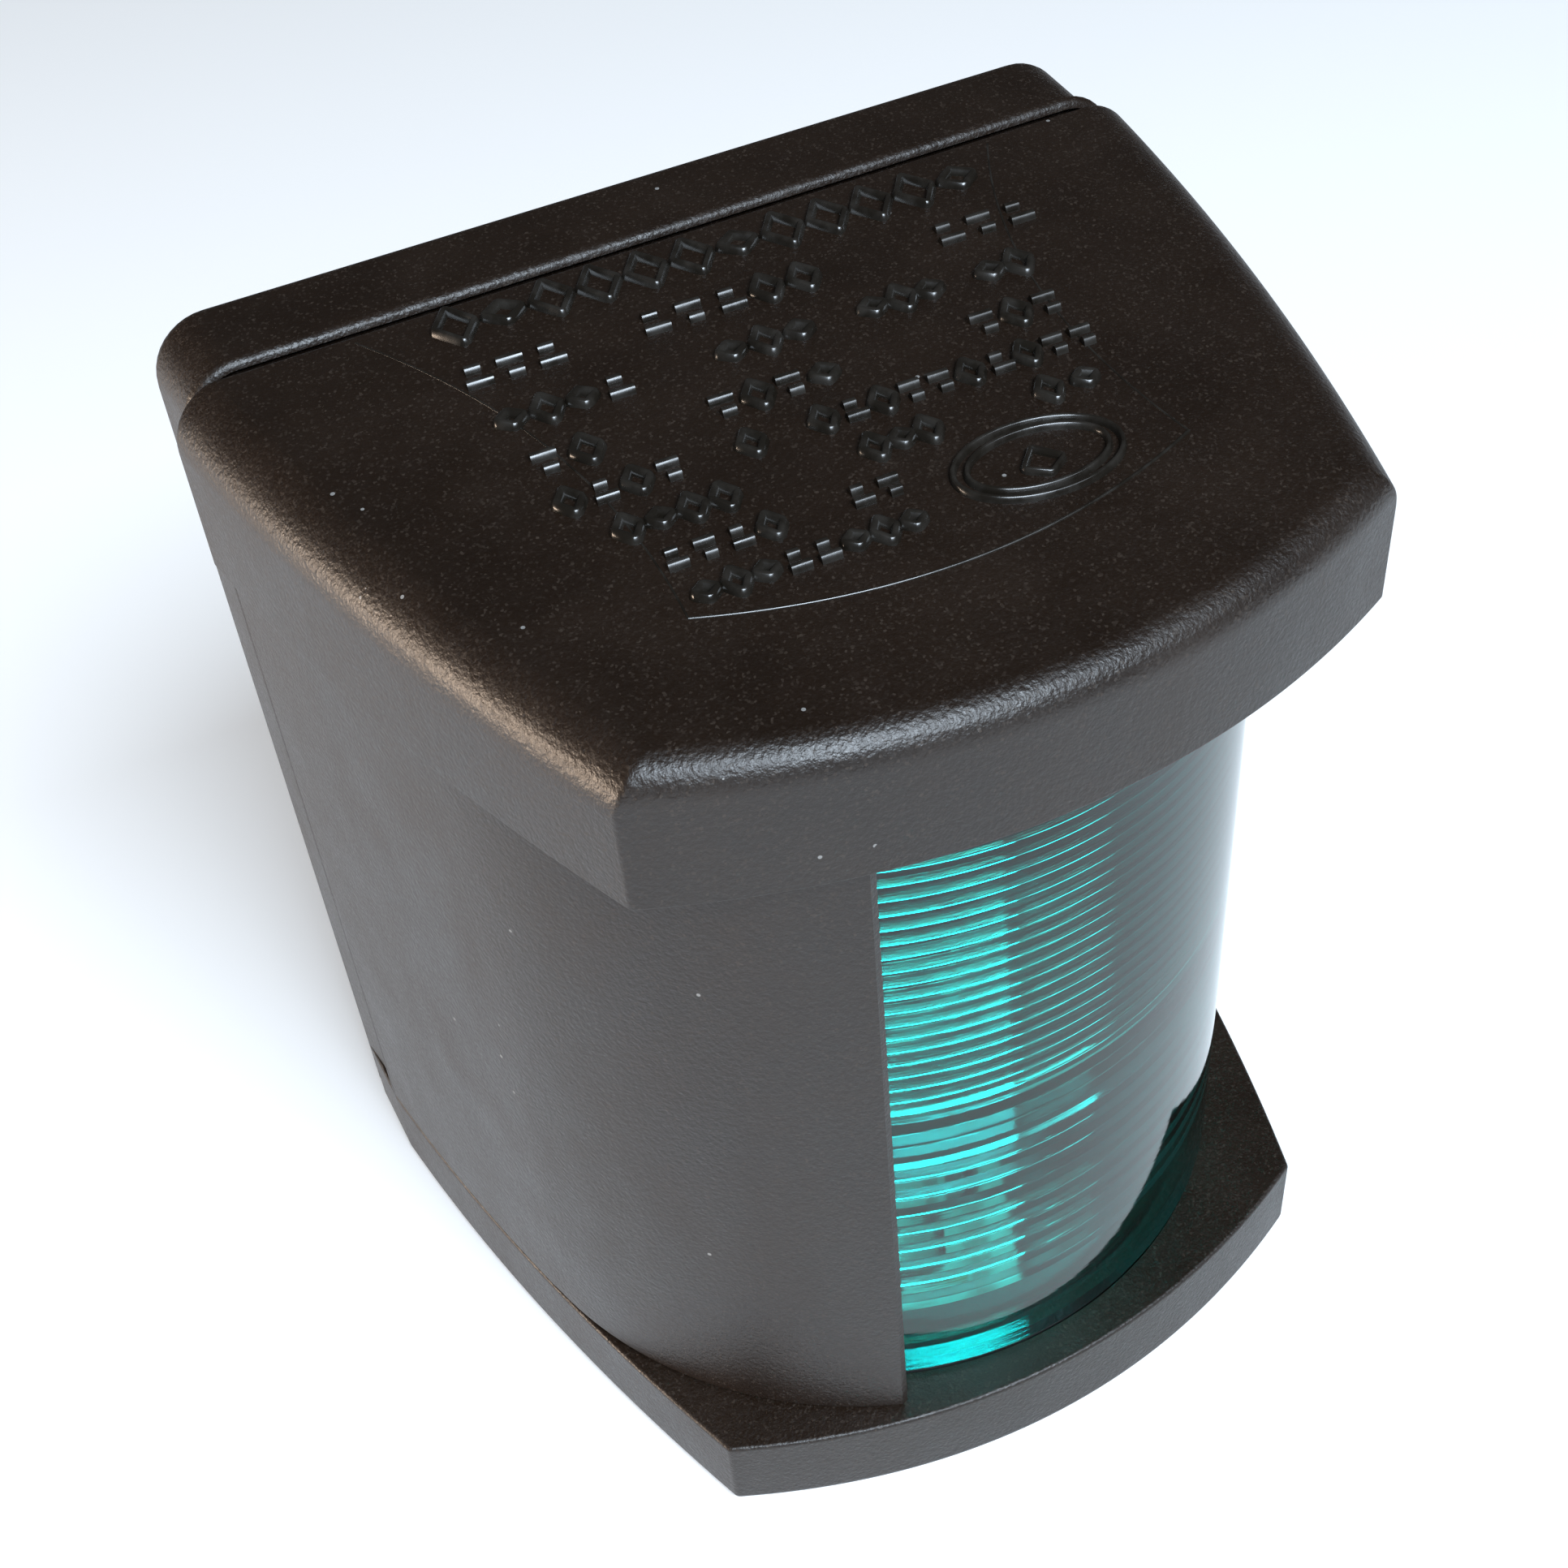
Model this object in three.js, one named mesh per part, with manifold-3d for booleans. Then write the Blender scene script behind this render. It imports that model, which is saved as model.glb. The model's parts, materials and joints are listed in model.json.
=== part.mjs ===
// Starboard navigation light for a boat's cabin side, in millimetres.
// +X is the boat's bow, -Y points out from the bulkhead, +Z is up.
// The L-shaped base holds the bulb; the cover with its lens lifts off it once the screw underneath is out.
import * as THREE from "three";
import { mergeVertices } from "three/addons/utils/BufferGeometryUtils.js";
import Module from "manifold-3d";

// Base: back plate and bottom flange
const BASE_WIDTH = 66;
const BASE_HEIGHT = 73.6;
const PLATE_THICK = 8.2;
const FLANGE_THICK = 7;
const PLATE_CORNER = 4; // radius of the plate's two top corners
const FRONT_WIDTH = 47; // between the flange's two front corners
const CORNER_DEPTH = 41.1; // from the plate's front face to those corners
const FRONT_BOW = 5.6; // how far the front edge stands out of the line between its corners
const SIDE_BOW = 1.15;

// Cover
const CAP_OVERHANG_BACK = 0.9;
const CAP_OVERHANG_FRONT = 0.3;
const CAP_UNDERSIDE = 60.7;
const CAP_TOP = 73.1; // at the plate; it falls towards the front
const CAP_FALL = 0.075;
const CAP_SIDE_RADIUS = 3.8;
const CAP_FRONT_RADIUS = 2.2;
const CEILING = 66;
const SCREEN_RADIUS = 29.4;
const SECTOR = THREE.MathUtils.degToRad(112.5); // of light, from right ahead to abaft the beam
const WALL = 2.6;

// Lens, on a vertical axis in front of the plate
const LENS_RADIUS = 26.9;
const LENS_DEPTH = 17.2;
const LENS_ROOT = 25.4; // inner radius between two prisms
const LENS_CREST = 24.6;
const LENS_TOP = 64.7;
const LENS_PITCH = 4.4;
const LENS_TUCK = THREE.MathUtils.degToRad(6.5); // how far it reaches behind each screen

// Bulb and its holder
const BULB_MID_Z = 34;
const BULB_LENGTH = 41;
const BULB_RADIUS = 5.5;
const NECK_RADIUS = 2.9;
const BULB_CAP_RADIUS = 3.6;
const TIP_RADIUS = 1.4;
const TIP_LENGTH = 1.6;
const STRIP_THICK = 0.5;
const STRIP_HALF = 3.5;
const PAD_FACE = -15;
const STRIP_REACH = 11.5; // from a fork to its strip's screw
const HOLDER_HALF = 12;
const HOLDER_SCREW_X = 7.4;
const SMALL_SCREW_RADIUS = 1.5;

// Fasteners and holes
const GAP = 0.3; // between two pieces that touch
const MOUNT_X = 18;
const MOUNT_HOLE = 2.3;
const CABLE_X = 18.5;
const CABLE_Z = 16;
const CABLE_HOLE = 4.2;
const CABLE_BORE = 3.1;
const COVER_SCREW_X = -21.5;
const COVER_SCREW_Y = -27;
const COVER_SCREW_RADIUS = 1.95;
const BOSS_RADIUS = 4.6;

const MID_Z = BASE_HEIGHT / 2;
const PLATE_FACE = -PLATE_THICK;
const COVER_BACK = PLATE_FACE - GAP;
const COVER_LOW = FLANGE_THICK + GAP;
const LENS_Y = PLATE_FACE - LENS_DEPTH;
const CAVITY_RADIUS = LENS_RADIUS + GAP;

// ---- Solids: joining and cutting with manifold-3d ----

const wasm = await Module();
wasm.setup();

function solidOf(geometry) {
  const bare = new THREE.BufferGeometry();
  bare.setAttribute("position", geometry.getAttribute("position"));
  if (geometry.index) bare.setIndex(geometry.index);
  const merged = mergeVertices(bare, 1e-4);
  return new wasm.Manifold(
    new wasm.Mesh({
      numProp: 3,
      vertProperties: merged.getAttribute("position").array,
      triVerts: new Uint32Array(merged.index.array),
    }),
  );
}

function geometryOf(solid) {
  const { vertProperties, triVerts } = solid.getMesh();
  const geometry = new THREE.BufferGeometry();
  geometry.setAttribute("position", new THREE.BufferAttribute(vertProperties, 3));
  geometry.setIndex(new THREE.BufferAttribute(triVerts, 1));
  return geometry;
}

const join = (...shapes) => geometryOf(shapes.map(solidOf).reduce((a, b) => a.add(b)));
const cut = (...shapes) => geometryOf(shapes.map(solidOf).reduce((a, b) => a.subtract(b)));
const common = (...shapes) => geometryOf(shapes.map(solidOf).reduce((a, b) => a.intersect(b)));

// ---- Shapes ----

const block = (x0, x1, y0, y1, z0, z1) =>
  new THREE.BoxGeometry(x1 - x0, y1 - y0, z1 - z0).translate((x0 + x1) / 2, (y0 + y1) / 2, (z0 + z1) / 2);

// A round bar standing on z0, or lying along Y from y0.
const post = (radius, x, y, z0, z1, sides = 28) =>
  new THREE.CylinderGeometry(radius, radius, z1 - z0, sides)
    .rotateX(Math.PI / 2)
    .translate(x, y, (z0 + z1) / 2);
const peg = (radius, x, z, y0, y1, sides = 24) =>
  new THREE.CylinderGeometry(radius, radius, y1 - y0, sides).translate(x, (y0 + y1) / 2, z);

// A flat outline in XY, raised from z0 to z1.
function prism(outline, z0, z1, curveSegments = 24) {
  const shape = outline instanceof THREE.Shape ? outline : new THREE.Shape(outline);
  const depth = z1 - z0;
  return new THREE.ExtrudeGeometry(shape, { depth, bevelEnabled: false, curveSegments }).translate(0, 0, z0);
}

// The same for an outline in XZ, from y1 at the back to y0 at the front.
const panel = (outline, y0, y1, curveSegments = 3) =>
  prism(outline, -y1, -y0, curveSegments).rotateX(Math.PI / 2);

// The same for an outline in YZ, from x0 to x1.
const slab = (outline, x0, x1) =>
  prism(
    outline.map(([y, z]) => new THREE.Vector2(-z, y)),
    x0,
    x1,
  ).rotateY(Math.PI / 2);

// A piece of a ring about the lens's axis, between two angles from +X.
function arcBand(inner, outer, from, to) {
  const band = new THREE.Shape();
  band.absarc(0, LENS_Y, outer, from, to, false);
  band.absarc(0, LENS_Y, inner, to, from, true);
  return band;
}

// A solid skinned over rings of equal length, each anticlockwise seen from +Z, lowest first.
function loft(rings) {
  const count = rings[0].length;
  const corners = [];
  const quad = (a, b, c, d) => corners.push(a, b, c, a, c, d);
  for (let level = 0; level + 1 < rings.length; level++)
    for (let i = 0; i < count; i++) {
      const next = (i + 1) % count;
      quad(rings[level][i], rings[level][next], rings[level + 1][next], rings[level + 1][i]);
    }
  const lid = (ring, up) => {
    for (const [a, b, c] of THREE.ShapeUtils.triangulateShape(ring, []))
      corners.push(ring[a], ring[up ? b : c], ring[up ? c : b]);
  };
  lid(rings[0], false);
  lid(rings.at(-1), true);
  return new THREE.BufferGeometry().setFromPoints(corners);
}

// The outline that base and cover share, seen from above: straight back, bowed sides and front.
function shield(halfBack, halfFront, backY, cornerY, frontBow) {
  const bowed = (from, to, bow, steps) => {
    const along = to.clone().sub(from);
    const out = new THREE.Vector2(along.y, -along.x).normalize();
    return Array.from({ length: steps }, (_, i) => {
      const t = i / steps;
      return from.clone().addScaledVector(along, t).addScaledVector(out, 4 * t * (1 - t) * bow);
    });
  };
  const [backRight, backLeft] = [halfBack, -halfBack].map((x) => new THREE.Vector2(x, backY));
  const [frontRight, frontLeft] = [halfFront, -halfFront].map((x) => new THREE.Vector2(x, cornerY));
  return [
    backRight,
    ...bowed(backLeft, frontLeft, SIDE_BOW, 10),
    ...bowed(frontLeft, frontRight, frontBow, 16),
    ...bowed(frontRight, backRight, SIDE_BOW, 10),
  ];
}

// Outward directions at an outline's points, long enough to keep an inset parallel to its edges.
function mitres(outline) {
  const edgeNormal = (a, b) => new THREE.Vector2(b.y - a.y, a.x - b.x).normalize();
  return outline.map((point, i) => {
    const before = edgeNormal(outline.at(i - 1), point);
    const after = edgeNormal(point, outline[(i + 1) % outline.length]);
    return before.clone().add(after).divideScalar(1 + before.dot(after));
  });
}

// A rounded upright rectangle in XZ, with its own radius at the top and the bottom.
function uprightOutline(halfWidth, low, high, topRadius, lowRadius) {
  const shape = new THREE.Shape();
  const quarter = Math.PI / 2;
  shape.absarc(halfWidth - topRadius, high - topRadius, topRadius, 0, quarter);
  shape.absarc(topRadius - halfWidth, high - topRadius, topRadius, quarter, 2 * quarter);
  shape.absarc(lowRadius - halfWidth, low + lowRadius, lowRadius, 2 * quarter, 3 * quarter);
  shape.absarc(halfWidth - lowRadius, low + lowRadius, lowRadius, 3 * quarter, 4 * quarter);
  return shape;
}

// ---- Base ----

const CORNER_Y = PLATE_FACE - CORNER_DEPTH;
const baseOutline = shield(BASE_WIDTH / 2, FRONT_WIDTH / 2, PLATE_FACE, CORNER_Y, FRONT_BOW);

const FOOT_SEAL_LOW = FLANGE_THICK - 0.9;
const PLATE_SEAL_BACK = PLATE_FACE + 0.9;
const GASKET_THICK = 0.9;
const GASKET_INSET = 3;

// The flat band that the lens stands on; margin makes the groove it lies in.
function footSeal(margin, z0, z1) {
  const turn = margin / LENS_RADIUS;
  const band = [LENS_CREST + 0.4 - margin, LENS_RADIUS - 0.4 + margin];
  return prism(arcBand(...band, -SECTOR - LENS_TUCK - turn, LENS_TUCK + turn), z0, z1, 22);
}

// The strip behind the cover's back edge: up one side, across the top and down the other.
function plateSeal(margin, y0, y1) {
  const [half, top, band, low] = [BASE_WIDTH / 2 - 1, 70.5, 1.6, 9];
  const outside = uprightOutline(half + margin, low - 10, top + margin, 2.6, 1);
  const inside = uprightOutline(half - band - margin, low - 20, top - band - margin, 1.4, 1);
  const slice = block(-40, 40, y0 - 1, y1 + 1, low - margin, 90);
  return common(cut(panel(outside, y0, y1), panel(inside, y0 - 1, y1 + 1)), slice);
}

// One of the two upright hooks that the cover's lips slide down behind.
function rail(side) {
  const outline = [
    [24.6, PLATE_FACE + 1],
    [24.6, -14],
    [29, -14],
    [29, -12.3],
    [26.6, -12.3],
    [26.6, PLATE_FACE + 1],
  ].map(([x, y]) => new THREE.Vector2(side * x, y));
  return prism(outline, FLANGE_THICK - 1, 56);
}

const RECESS_HALF = BASE_WIDTH / 2 - GASKET_INSET;

function baseHousing() {
  const half = BASE_WIDTH / 2;
  const edge = 0.5; // softened front edge; the back edge is rounded further
  const plateRing = (inset, depth) =>
    uprightOutline(half - inset, 1 + inset / 2, BASE_HEIGHT - inset, PLATE_CORNER - inset, 1)
      .getPoints(3)
      .map((p) => new THREE.Vector3(p.x, p.y, depth));
  const rings = [
    [1.4, 0],
    [0.45, 0.45],
    [0, 1.4],
    [0, PLATE_THICK - edge],
    [edge, PLATE_THICK],
  ];
  const plate = loft(rings.map(([inset, depth]) => plateRing(inset, depth))).rotateX(Math.PI / 2);

  const flangeOutline = [
    ...[half, -half].map((x) => new THREE.Vector2(x, -1.4)),
    ...baseOutline.slice(1),
    baseOutline[0],
  ];
  const out = mitres(flangeOutline);
  const flangeRing = (inset, z) =>
    flangeOutline.map((p, i) => new THREE.Vector3(p.x - out[i].x * inset, p.y - out[i].y * inset, z));
  const flange = loft([
    flangeRing(0.8, 0),
    flangeRing(0, 0.8),
    flangeRing(0, FLANGE_THICK - 0.3),
    flangeRing(0.3, FLANGE_THICK),
  ]);

  const seats = [-1, 1].map((side) => peg(5, side * MOUNT_X, MID_Z, PLATE_FACE - 1, PLATE_FACE + 1));
  const ledge = block(-9, 9, PLATE_FACE - 3.3, PLATE_FACE + 1, FLANGE_THICK - 1, 9.4);
  const body = join(plate, flange, rail(-1), rail(1), ledge, ...seats);

  const recessFloor = -GASKET_THICK - GAP;
  const recess = panel(
    uprightOutline(RECESS_HALF + GAP, GASKET_INSET - GAP, BASE_HEIGHT - GASKET_INSET + GAP, 2, 2),
    recessFloor,
    1,
  );
  const mountHoles = [-1, 1].map((side) => peg(MOUNT_HOLE, side * MOUNT_X, MID_Z, -12, 1));
  const cableHole = peg(CABLE_HOLE, CABLE_X, CABLE_Z, -12, 1);
  const pilots = [-1, 1].map((side) => peg(SMALL_SCREW_RADIUS + GAP, side * HOLDER_SCREW_X, BULB_MID_Z, -20, -2.4));
  const counterbore = post(4.3, COVER_SCREW_X, COVER_SCREW_Y, -1, 3.9);
  const screwHole = post(2.4, COVER_SCREW_X, COVER_SCREW_Y, 3, 8);
  const drain = post(1.2, 9, -43, -1, 8, 16);
  return cut(
    body,
    recess,
    ...mountHoles,
    cableHole,
    ...pilots,
    counterbore,
    screwHole,
    drain,
    footSeal(GAP, FOOT_SEAL_LOW - GAP, FLANGE_THICK + 1),
    plateSeal(GAP, PLATE_FACE - 1, PLATE_SEAL_BACK + GAP),
  );
}

function bulkheadGasket() {
  const sheet = panel(
    uprightOutline(RECESS_HALF, GASKET_INSET, BASE_HEIGHT - GASKET_INSET, 2, 2),
    -GASKET_THICK,
    0,
  );
  const holes = [-1, 1].map((side) => peg(MOUNT_HOLE + 0.5, side * MOUNT_X, MID_Z, -5, 5));
  return cut(sheet, ...holes, peg(CABLE_HOLE + 1.5, CABLE_X, CABLE_Z, -5, 5));
}

// Rubber bush for the supply cable: a sleeve in the hole with a lip on each side of the plate.
function cableGrommet() {
  const lip = CABLE_HOLE + 1.2;
  const front = PLATE_FACE - GAP;
  const sleeve = peg(CABLE_HOLE - GAP, CABLE_X, CABLE_Z, front - 1.6, -0.2);
  const innerLip = peg(lip, CABLE_X, CABLE_Z, front - 1.6, front);
  const outerLip = peg(lip, CABLE_X, CABLE_Z, -GASKET_THICK, -0.2);
  return cut(join(sleeve, innerLip, outerLip), peg(CABLE_BORE, CABLE_X, CABLE_Z, -15, 5));
}

// ---- Cover ----

const capHalfBack = BASE_WIDTH / 2 + CAP_OVERHANG_BACK;
const capOutline = shield(
  capHalfBack,
  FRONT_WIDTH / 2 + CAP_OVERHANG_FRONT,
  COVER_BACK,
  CORNER_Y - CAP_OVERHANG_FRONT,
  FRONT_BOW,
);
const BACK_POINTS = 2;
const SIDE_POINTS = 10;

// The cap as one solid: upright sides and front, rounded over into a top that falls forward.
function capSolid() {
  const frontLeft = SIDE_POINTS + 1;
  const frontRight = capOutline.length - SIDE_POINTS;
  const blend = 6; // length over which the side's rounding turns into the front's
  const meanRadius = (CAP_SIDE_RADIUS + CAP_FRONT_RADIUS) / 2;
  const radiusAt = (point, i) => {
    const nearest = Math.min(...[frontLeft, frontRight].map((c) => capOutline[c].distanceTo(point)));
    const far = i > frontLeft && i < frontRight ? CAP_FRONT_RADIUS : CAP_SIDE_RADIUS;
    return THREE.MathUtils.lerp(meanRadius, far, Math.min(1, nearest / blend));
  };
  const out = mitres(capOutline);
  for (let i = 0; i < BACK_POINTS; i++) out[i].set(Math.sign(capOutline[i].x), 0);
  const ring = (turn) =>
    capOutline.map((point, i) => {
      const radius = radiusAt(point, i);
      const inset = radius * (1 - Math.cos(turn));
      const [x, y] = [point.x - out[i].x * inset, point.y - out[i].y * inset];
      return new THREE.Vector3(x, y, CAP_TOP + CAP_FALL * (y - COVER_BACK) - radius * (1 - Math.sin(turn)));
    });
  const foot = capOutline.map((p) => new THREE.Vector3(p.x, p.y, CAP_UNDERSIDE));
  const steps = 5;
  const rings = Array.from({ length: steps + 1 }, (_, i) => ring((i / steps) * (Math.PI / 2)));
  return loft([foot, ...rings]);
}

// The two screens: the base's sides, closed in to a cylinder round the lens, up to the lit sector's edges.
function screenWalls() {
  const sides = shield(BASE_WIDTH / 2, FRONT_WIDTH / 2, COVER_BACK, CORNER_Y, FRONT_BOW);
  const tangentY = LENS_Y - 5;
  const left = sides.slice(0, SIDE_POINTS).filter((p) => p.y > tangentY);
  const right = sides.slice(-SIDE_POINTS).filter((p) => p.y > LENS_Y + 0.5);
  const [last, next] = [sides.at(-SIDE_POINTS), sides.at(-SIDE_POINTS + 5)];
  const edgeX = THREE.MathUtils.mapLinear(LENS_Y, last.y, next.y, last.x, next.x);
  const [from, to] = [Math.PI + Math.asin(5.3 / SCREEN_RADIUS), 2 * Math.PI - SECTOR];
  const steps = 14;
  const round = Array.from({ length: steps + 1 }, (_, i) => {
    const turn = THREE.MathUtils.lerp(from, to, i / steps);
    const [dx, dy] = [SCREEN_RADIUS * Math.cos(turn), SCREEN_RADIUS * Math.sin(turn)];
    return new THREE.Vector2(dx, LENS_Y + dy);
  });
  const [axis, edge] = [new THREE.Vector2(0, LENS_Y), new THREE.Vector2(edgeX, LENS_Y)];
  return prism([...left, ...round, axis, edge, ...right], COVER_LOW, CAP_UNDERSIDE + 1);
}

function cavity(high) {
  const rear = BASE_WIDTH / 2 - WALL;
  const outline = new THREE.Shape();
  outline.moveTo(CAVITY_RADIUS, LENS_Y);
  outline.lineTo(rear, COVER_BACK);
  outline.lineTo(rear, 0);
  outline.lineTo(-rear, 0);
  outline.lineTo(-rear, COVER_BACK);
  outline.lineTo(-CAVITY_RADIUS, LENS_Y);
  outline.absarc(0, LENS_Y, CAVITY_RADIUS, Math.PI, 2 * Math.PI, false);
  return prism(outline, 0, high, 44);
}

// Upright channel that holds one edge of the lens: a stop past its end and a lip inside it.
function lensChannel(edge, turn) {
  const at = (radius, degrees) => {
    const angle = edge + turn * THREE.MathUtils.degToRad(degrees);
    return new THREE.Vector2(radius * Math.cos(angle), LENS_Y + radius * Math.sin(angle));
  };
  const [stop, inside, lip] = [CAVITY_RADIUS + 1.8, LENS_CREST - 1.2, LENS_CREST - GAP];
  const section = [at(stop, 0.8), at(stop, 3), at(inside, 3), at(inside, -2), at(lip, -2), at(lip, 0.8)];
  return prism(section, COVER_LOW, CEILING + 0.5);
}

function coverShell() {
  const shell = cut(join(capSolid(), screenWalls()), cavity(CEILING));
  const high = CEILING + 0.5;
  const boss = join(
    post(BOSS_RADIUS, COVER_SCREW_X, COVER_SCREW_Y, COVER_LOW, high),
    block(COVER_SCREW_X - 7, COVER_SCREW_X, COVER_SCREW_Y - 1.5, COVER_SCREW_Y + 1.5, COVER_LOW, high),
  );
  const lips = [-1, 1].map((side) => {
    const [near, far] = [side * 26.9, side * 31].sort((a, b) => a - b);
    return block(near, far, -12, -9.6, COVER_LOW, high);
  });
  const channels = [lensChannel(-SECTOR - LENS_TUCK, -1), lensChannel(LENS_TUCK, 1)];
  const insertHole = post(3.3, COVER_SCREW_X, COVER_SCREW_Y, 0, 14);
  const screwRoom = post(2.4, COVER_SCREW_X, COVER_SCREW_Y, 0, 24);
  return cut(join(shell, boss, ...lips, ...channels), insertHole, screwRoom);
}

// The lens: smooth outside, horizontal prisms inside, one sector of a turned ring.
function lensShape() {
  const profile = [new THREE.Vector2(LENS_RADIUS, COVER_LOW), new THREE.Vector2(LENS_RADIUS, LENS_TOP)];
  const prismStart = COVER_LOW + 2;
  const count = Math.floor((LENS_TOP - 3 - prismStart) / LENS_PITCH);
  profile.push(new THREE.Vector2(LENS_CREST, LENS_TOP));
  for (let i = count - 1; i >= 0; i--) {
    const low = prismStart + i * LENS_PITCH;
    profile.push(new THREE.Vector2(LENS_CREST, low + LENS_PITCH));
    profile.push(new THREE.Vector2(LENS_ROOT, low + LENS_PITCH / 2));
  }
  profile.push(new THREE.Vector2(LENS_CREST, prismStart), new THREE.Vector2(LENS_CREST, COVER_LOW));
  profile.push(profile[0].clone());
  const ring = new THREE.LatheGeometry(profile, 72).rotateX(Math.PI / 2).translate(0, LENS_Y, 0);
  const wedge = arcBand(LENS_CREST - 2, LENS_RADIUS + 2, -SECTOR - LENS_TUCK, LENS_TUCK);
  return common(ring, prism(wedge, 0, BASE_HEIGHT));
}

const lensSeal = () =>
  prism(
    arcBand(LENS_CREST + 0.2, LENS_RADIUS - 0.1, -SECTOR - LENS_TUCK, LENS_TUCK),
    LENS_TOP + GAP,
    CEILING - GAP,
    22,
  );

// ---- Bulb holder and its two spring strips ----

const HOLDER_BACK = PLATE_FACE - GAP;
const HOLDER_FACE = HOLDER_BACK - 3;
const SHOULDER = BULB_LENGTH / 2 - TIP_LENGTH; // from the bulb's middle to where a cap's cone ends
const STRIP_SCREW_OFFSET = SHOULDER + GAP + STRIP_THICK - STRIP_REACH;

function bulbHolder() {
  const [low, high] = [9.7, 63];
  const plate = block(-HOLDER_HALF, HOLDER_HALF, HOLDER_FACE, HOLDER_BACK, low, high);
  const cheek = 1.2;
  const cheeks = [-HOLDER_HALF, HOLDER_HALF - cheek].map((x) =>
    block(x, x + cheek, HOLDER_FACE - 2, HOLDER_BACK, low, high),
  );
  const pads = [-1, 1].map((end) => {
    const z = BULB_MID_Z + end * STRIP_SCREW_OFFSET;
    return block(-4, 4, PAD_FACE, HOLDER_BACK, z - 3.2, z + 3.2);
  });
  const stripPilots = [-1, 1].map((end) =>
    peg(SMALL_SCREW_RADIUS + GAP, 0, BULB_MID_Z + end * STRIP_SCREW_OFFSET, PAD_FACE - 1, HOLDER_BACK - 1),
  );
  const holes = [-1, 1].map((side) =>
    peg(SMALL_SCREW_RADIUS + GAP, side * HOLDER_SCREW_X, BULB_MID_Z, HOLDER_FACE - 1, HOLDER_BACK + 1),
  );
  return cut(join(plate, ...cheeks, ...pads), ...stripPilots, ...holes);
}

// A bent strip: a leg under its screw, and an arm whose fork takes the bulb's tip. end is +1 above, -1 below.
function contactStrip(end) {
  const at = (distance) => BULB_MID_Z + end * distance;
  const between = (a, b) => [Math.min(at(a), at(b)), Math.max(at(a), at(b))];
  const near = SHOULDER + GAP;
  const far = near + STRIP_THICK;
  const back = PAD_FACE - GAP;
  const [front, foot, tip] = [back - STRIP_THICK, at(STRIP_SCREW_OFFSET - 3.2), LENS_Y - 3.4];
  const section = [
    [back, foot],
    [back, at(far)],
    [tip, at(far)],
    [tip, at(near)],
    [front, at(near)],
    [front, foot],
  ];
  const slotHalf = TIP_RADIUS + GAP;
  const slot = block(-slotHalf, slotHalf, LENS_Y - 5, LENS_Y, ...between(near - 1, far + 1));
  const slotEnd = post(slotHalf, 0, LENS_Y, ...between(near - 1, far + 1), 20);
  const screwHole = peg(SMALL_SCREW_RADIUS + GAP, 0, at(STRIP_SCREW_OFFSET), back - 2, back + 1);
  return cut(slab(section, -STRIP_HALF, STRIP_HALF), slot, slotEnd, screwHole);
}

const CLAMP_BACK = PAD_FACE - 2 * GAP - STRIP_THICK;
const CLAMP_THICK = 0.8;

function clampPlate(end) {
  const z = BULB_MID_Z + end * STRIP_SCREW_OFFSET;
  const plate = block(-3, 3, CLAMP_BACK - CLAMP_THICK, CLAMP_BACK, z - 3, z + 3);
  return cut(plate, peg(SMALL_SCREW_RADIUS + GAP, 0, z, CLAMP_BACK - 2, CLAMP_BACK + 1));
}

// A small slotted screw lying along Y, its head's underside at y.
function slottedScrew(x, y, z, length) {
  const [head, thick] = [2.8, 1.7];
  const screw = join(peg(head, x, z, y - thick, y), peg(SMALL_SCREW_RADIUS, x, z, y - 0.5, y + length));
  return cut(screw, block(x - head - 1, x + head + 1, y - thick - 1, y - thick + 0.7, z - 0.4, z + 0.4));
}

// ---- Bulb ----

// A turned shape about an upright axis, from [radius, height] points.
const turned = (points, x, y, sides = 28) => {
  const profile = points.map(([radius, z]) => new THREE.Vector2(radius, z));
  return new THREE.LatheGeometry(profile, sides).rotateX(Math.PI / 2).translate(x, y, 0);
};

const CUP_FLOOR = SHOULDER - 2.1;
const CUP_RIM = SHOULDER - 6.4;

function bulbGlass() {
  const [end, neck, shoulder] = [CUP_FLOOR - GAP, CUP_RIM - 0.6, CUP_RIM - 3.6];
  const wall = 0.7;
  const outer = [
    [NECK_RADIUS, -end],
    [NECK_RADIUS, -neck],
    [BULB_RADIUS, -shoulder],
    [BULB_RADIUS, shoulder],
    [NECK_RADIUS, neck],
    [NECK_RADIUS, end],
  ];
  const inner = outer.map(([radius, z]) => [radius - wall, z]).reverse();
  return turned([...outer, ...inner, outer[0]], 0, LENS_Y).translate(0, 0, BULB_MID_Z);
}

function bulbCap(end) {
  const cup = [
    [0, SHOULDER + TIP_LENGTH],
    [TIP_RADIUS, SHOULDER + TIP_LENGTH],
    [TIP_RADIUS, SHOULDER],
    [2.3, SHOULDER],
    [BULB_CAP_RADIUS, SHOULDER - 1.5],
    [BULB_CAP_RADIUS, CUP_RIM],
    [NECK_RADIUS + GAP, CUP_RIM],
    [NECK_RADIUS + GAP, CUP_FLOOR],
    [0, CUP_FLOOR],
  ];
  const profile = end > 0 ? cup.reverse() : cup.map(([radius, z]) => [radius, -z]);
  return turned(profile, 0, LENS_Y).translate(0, 0, BULB_MID_Z);
}

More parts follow.
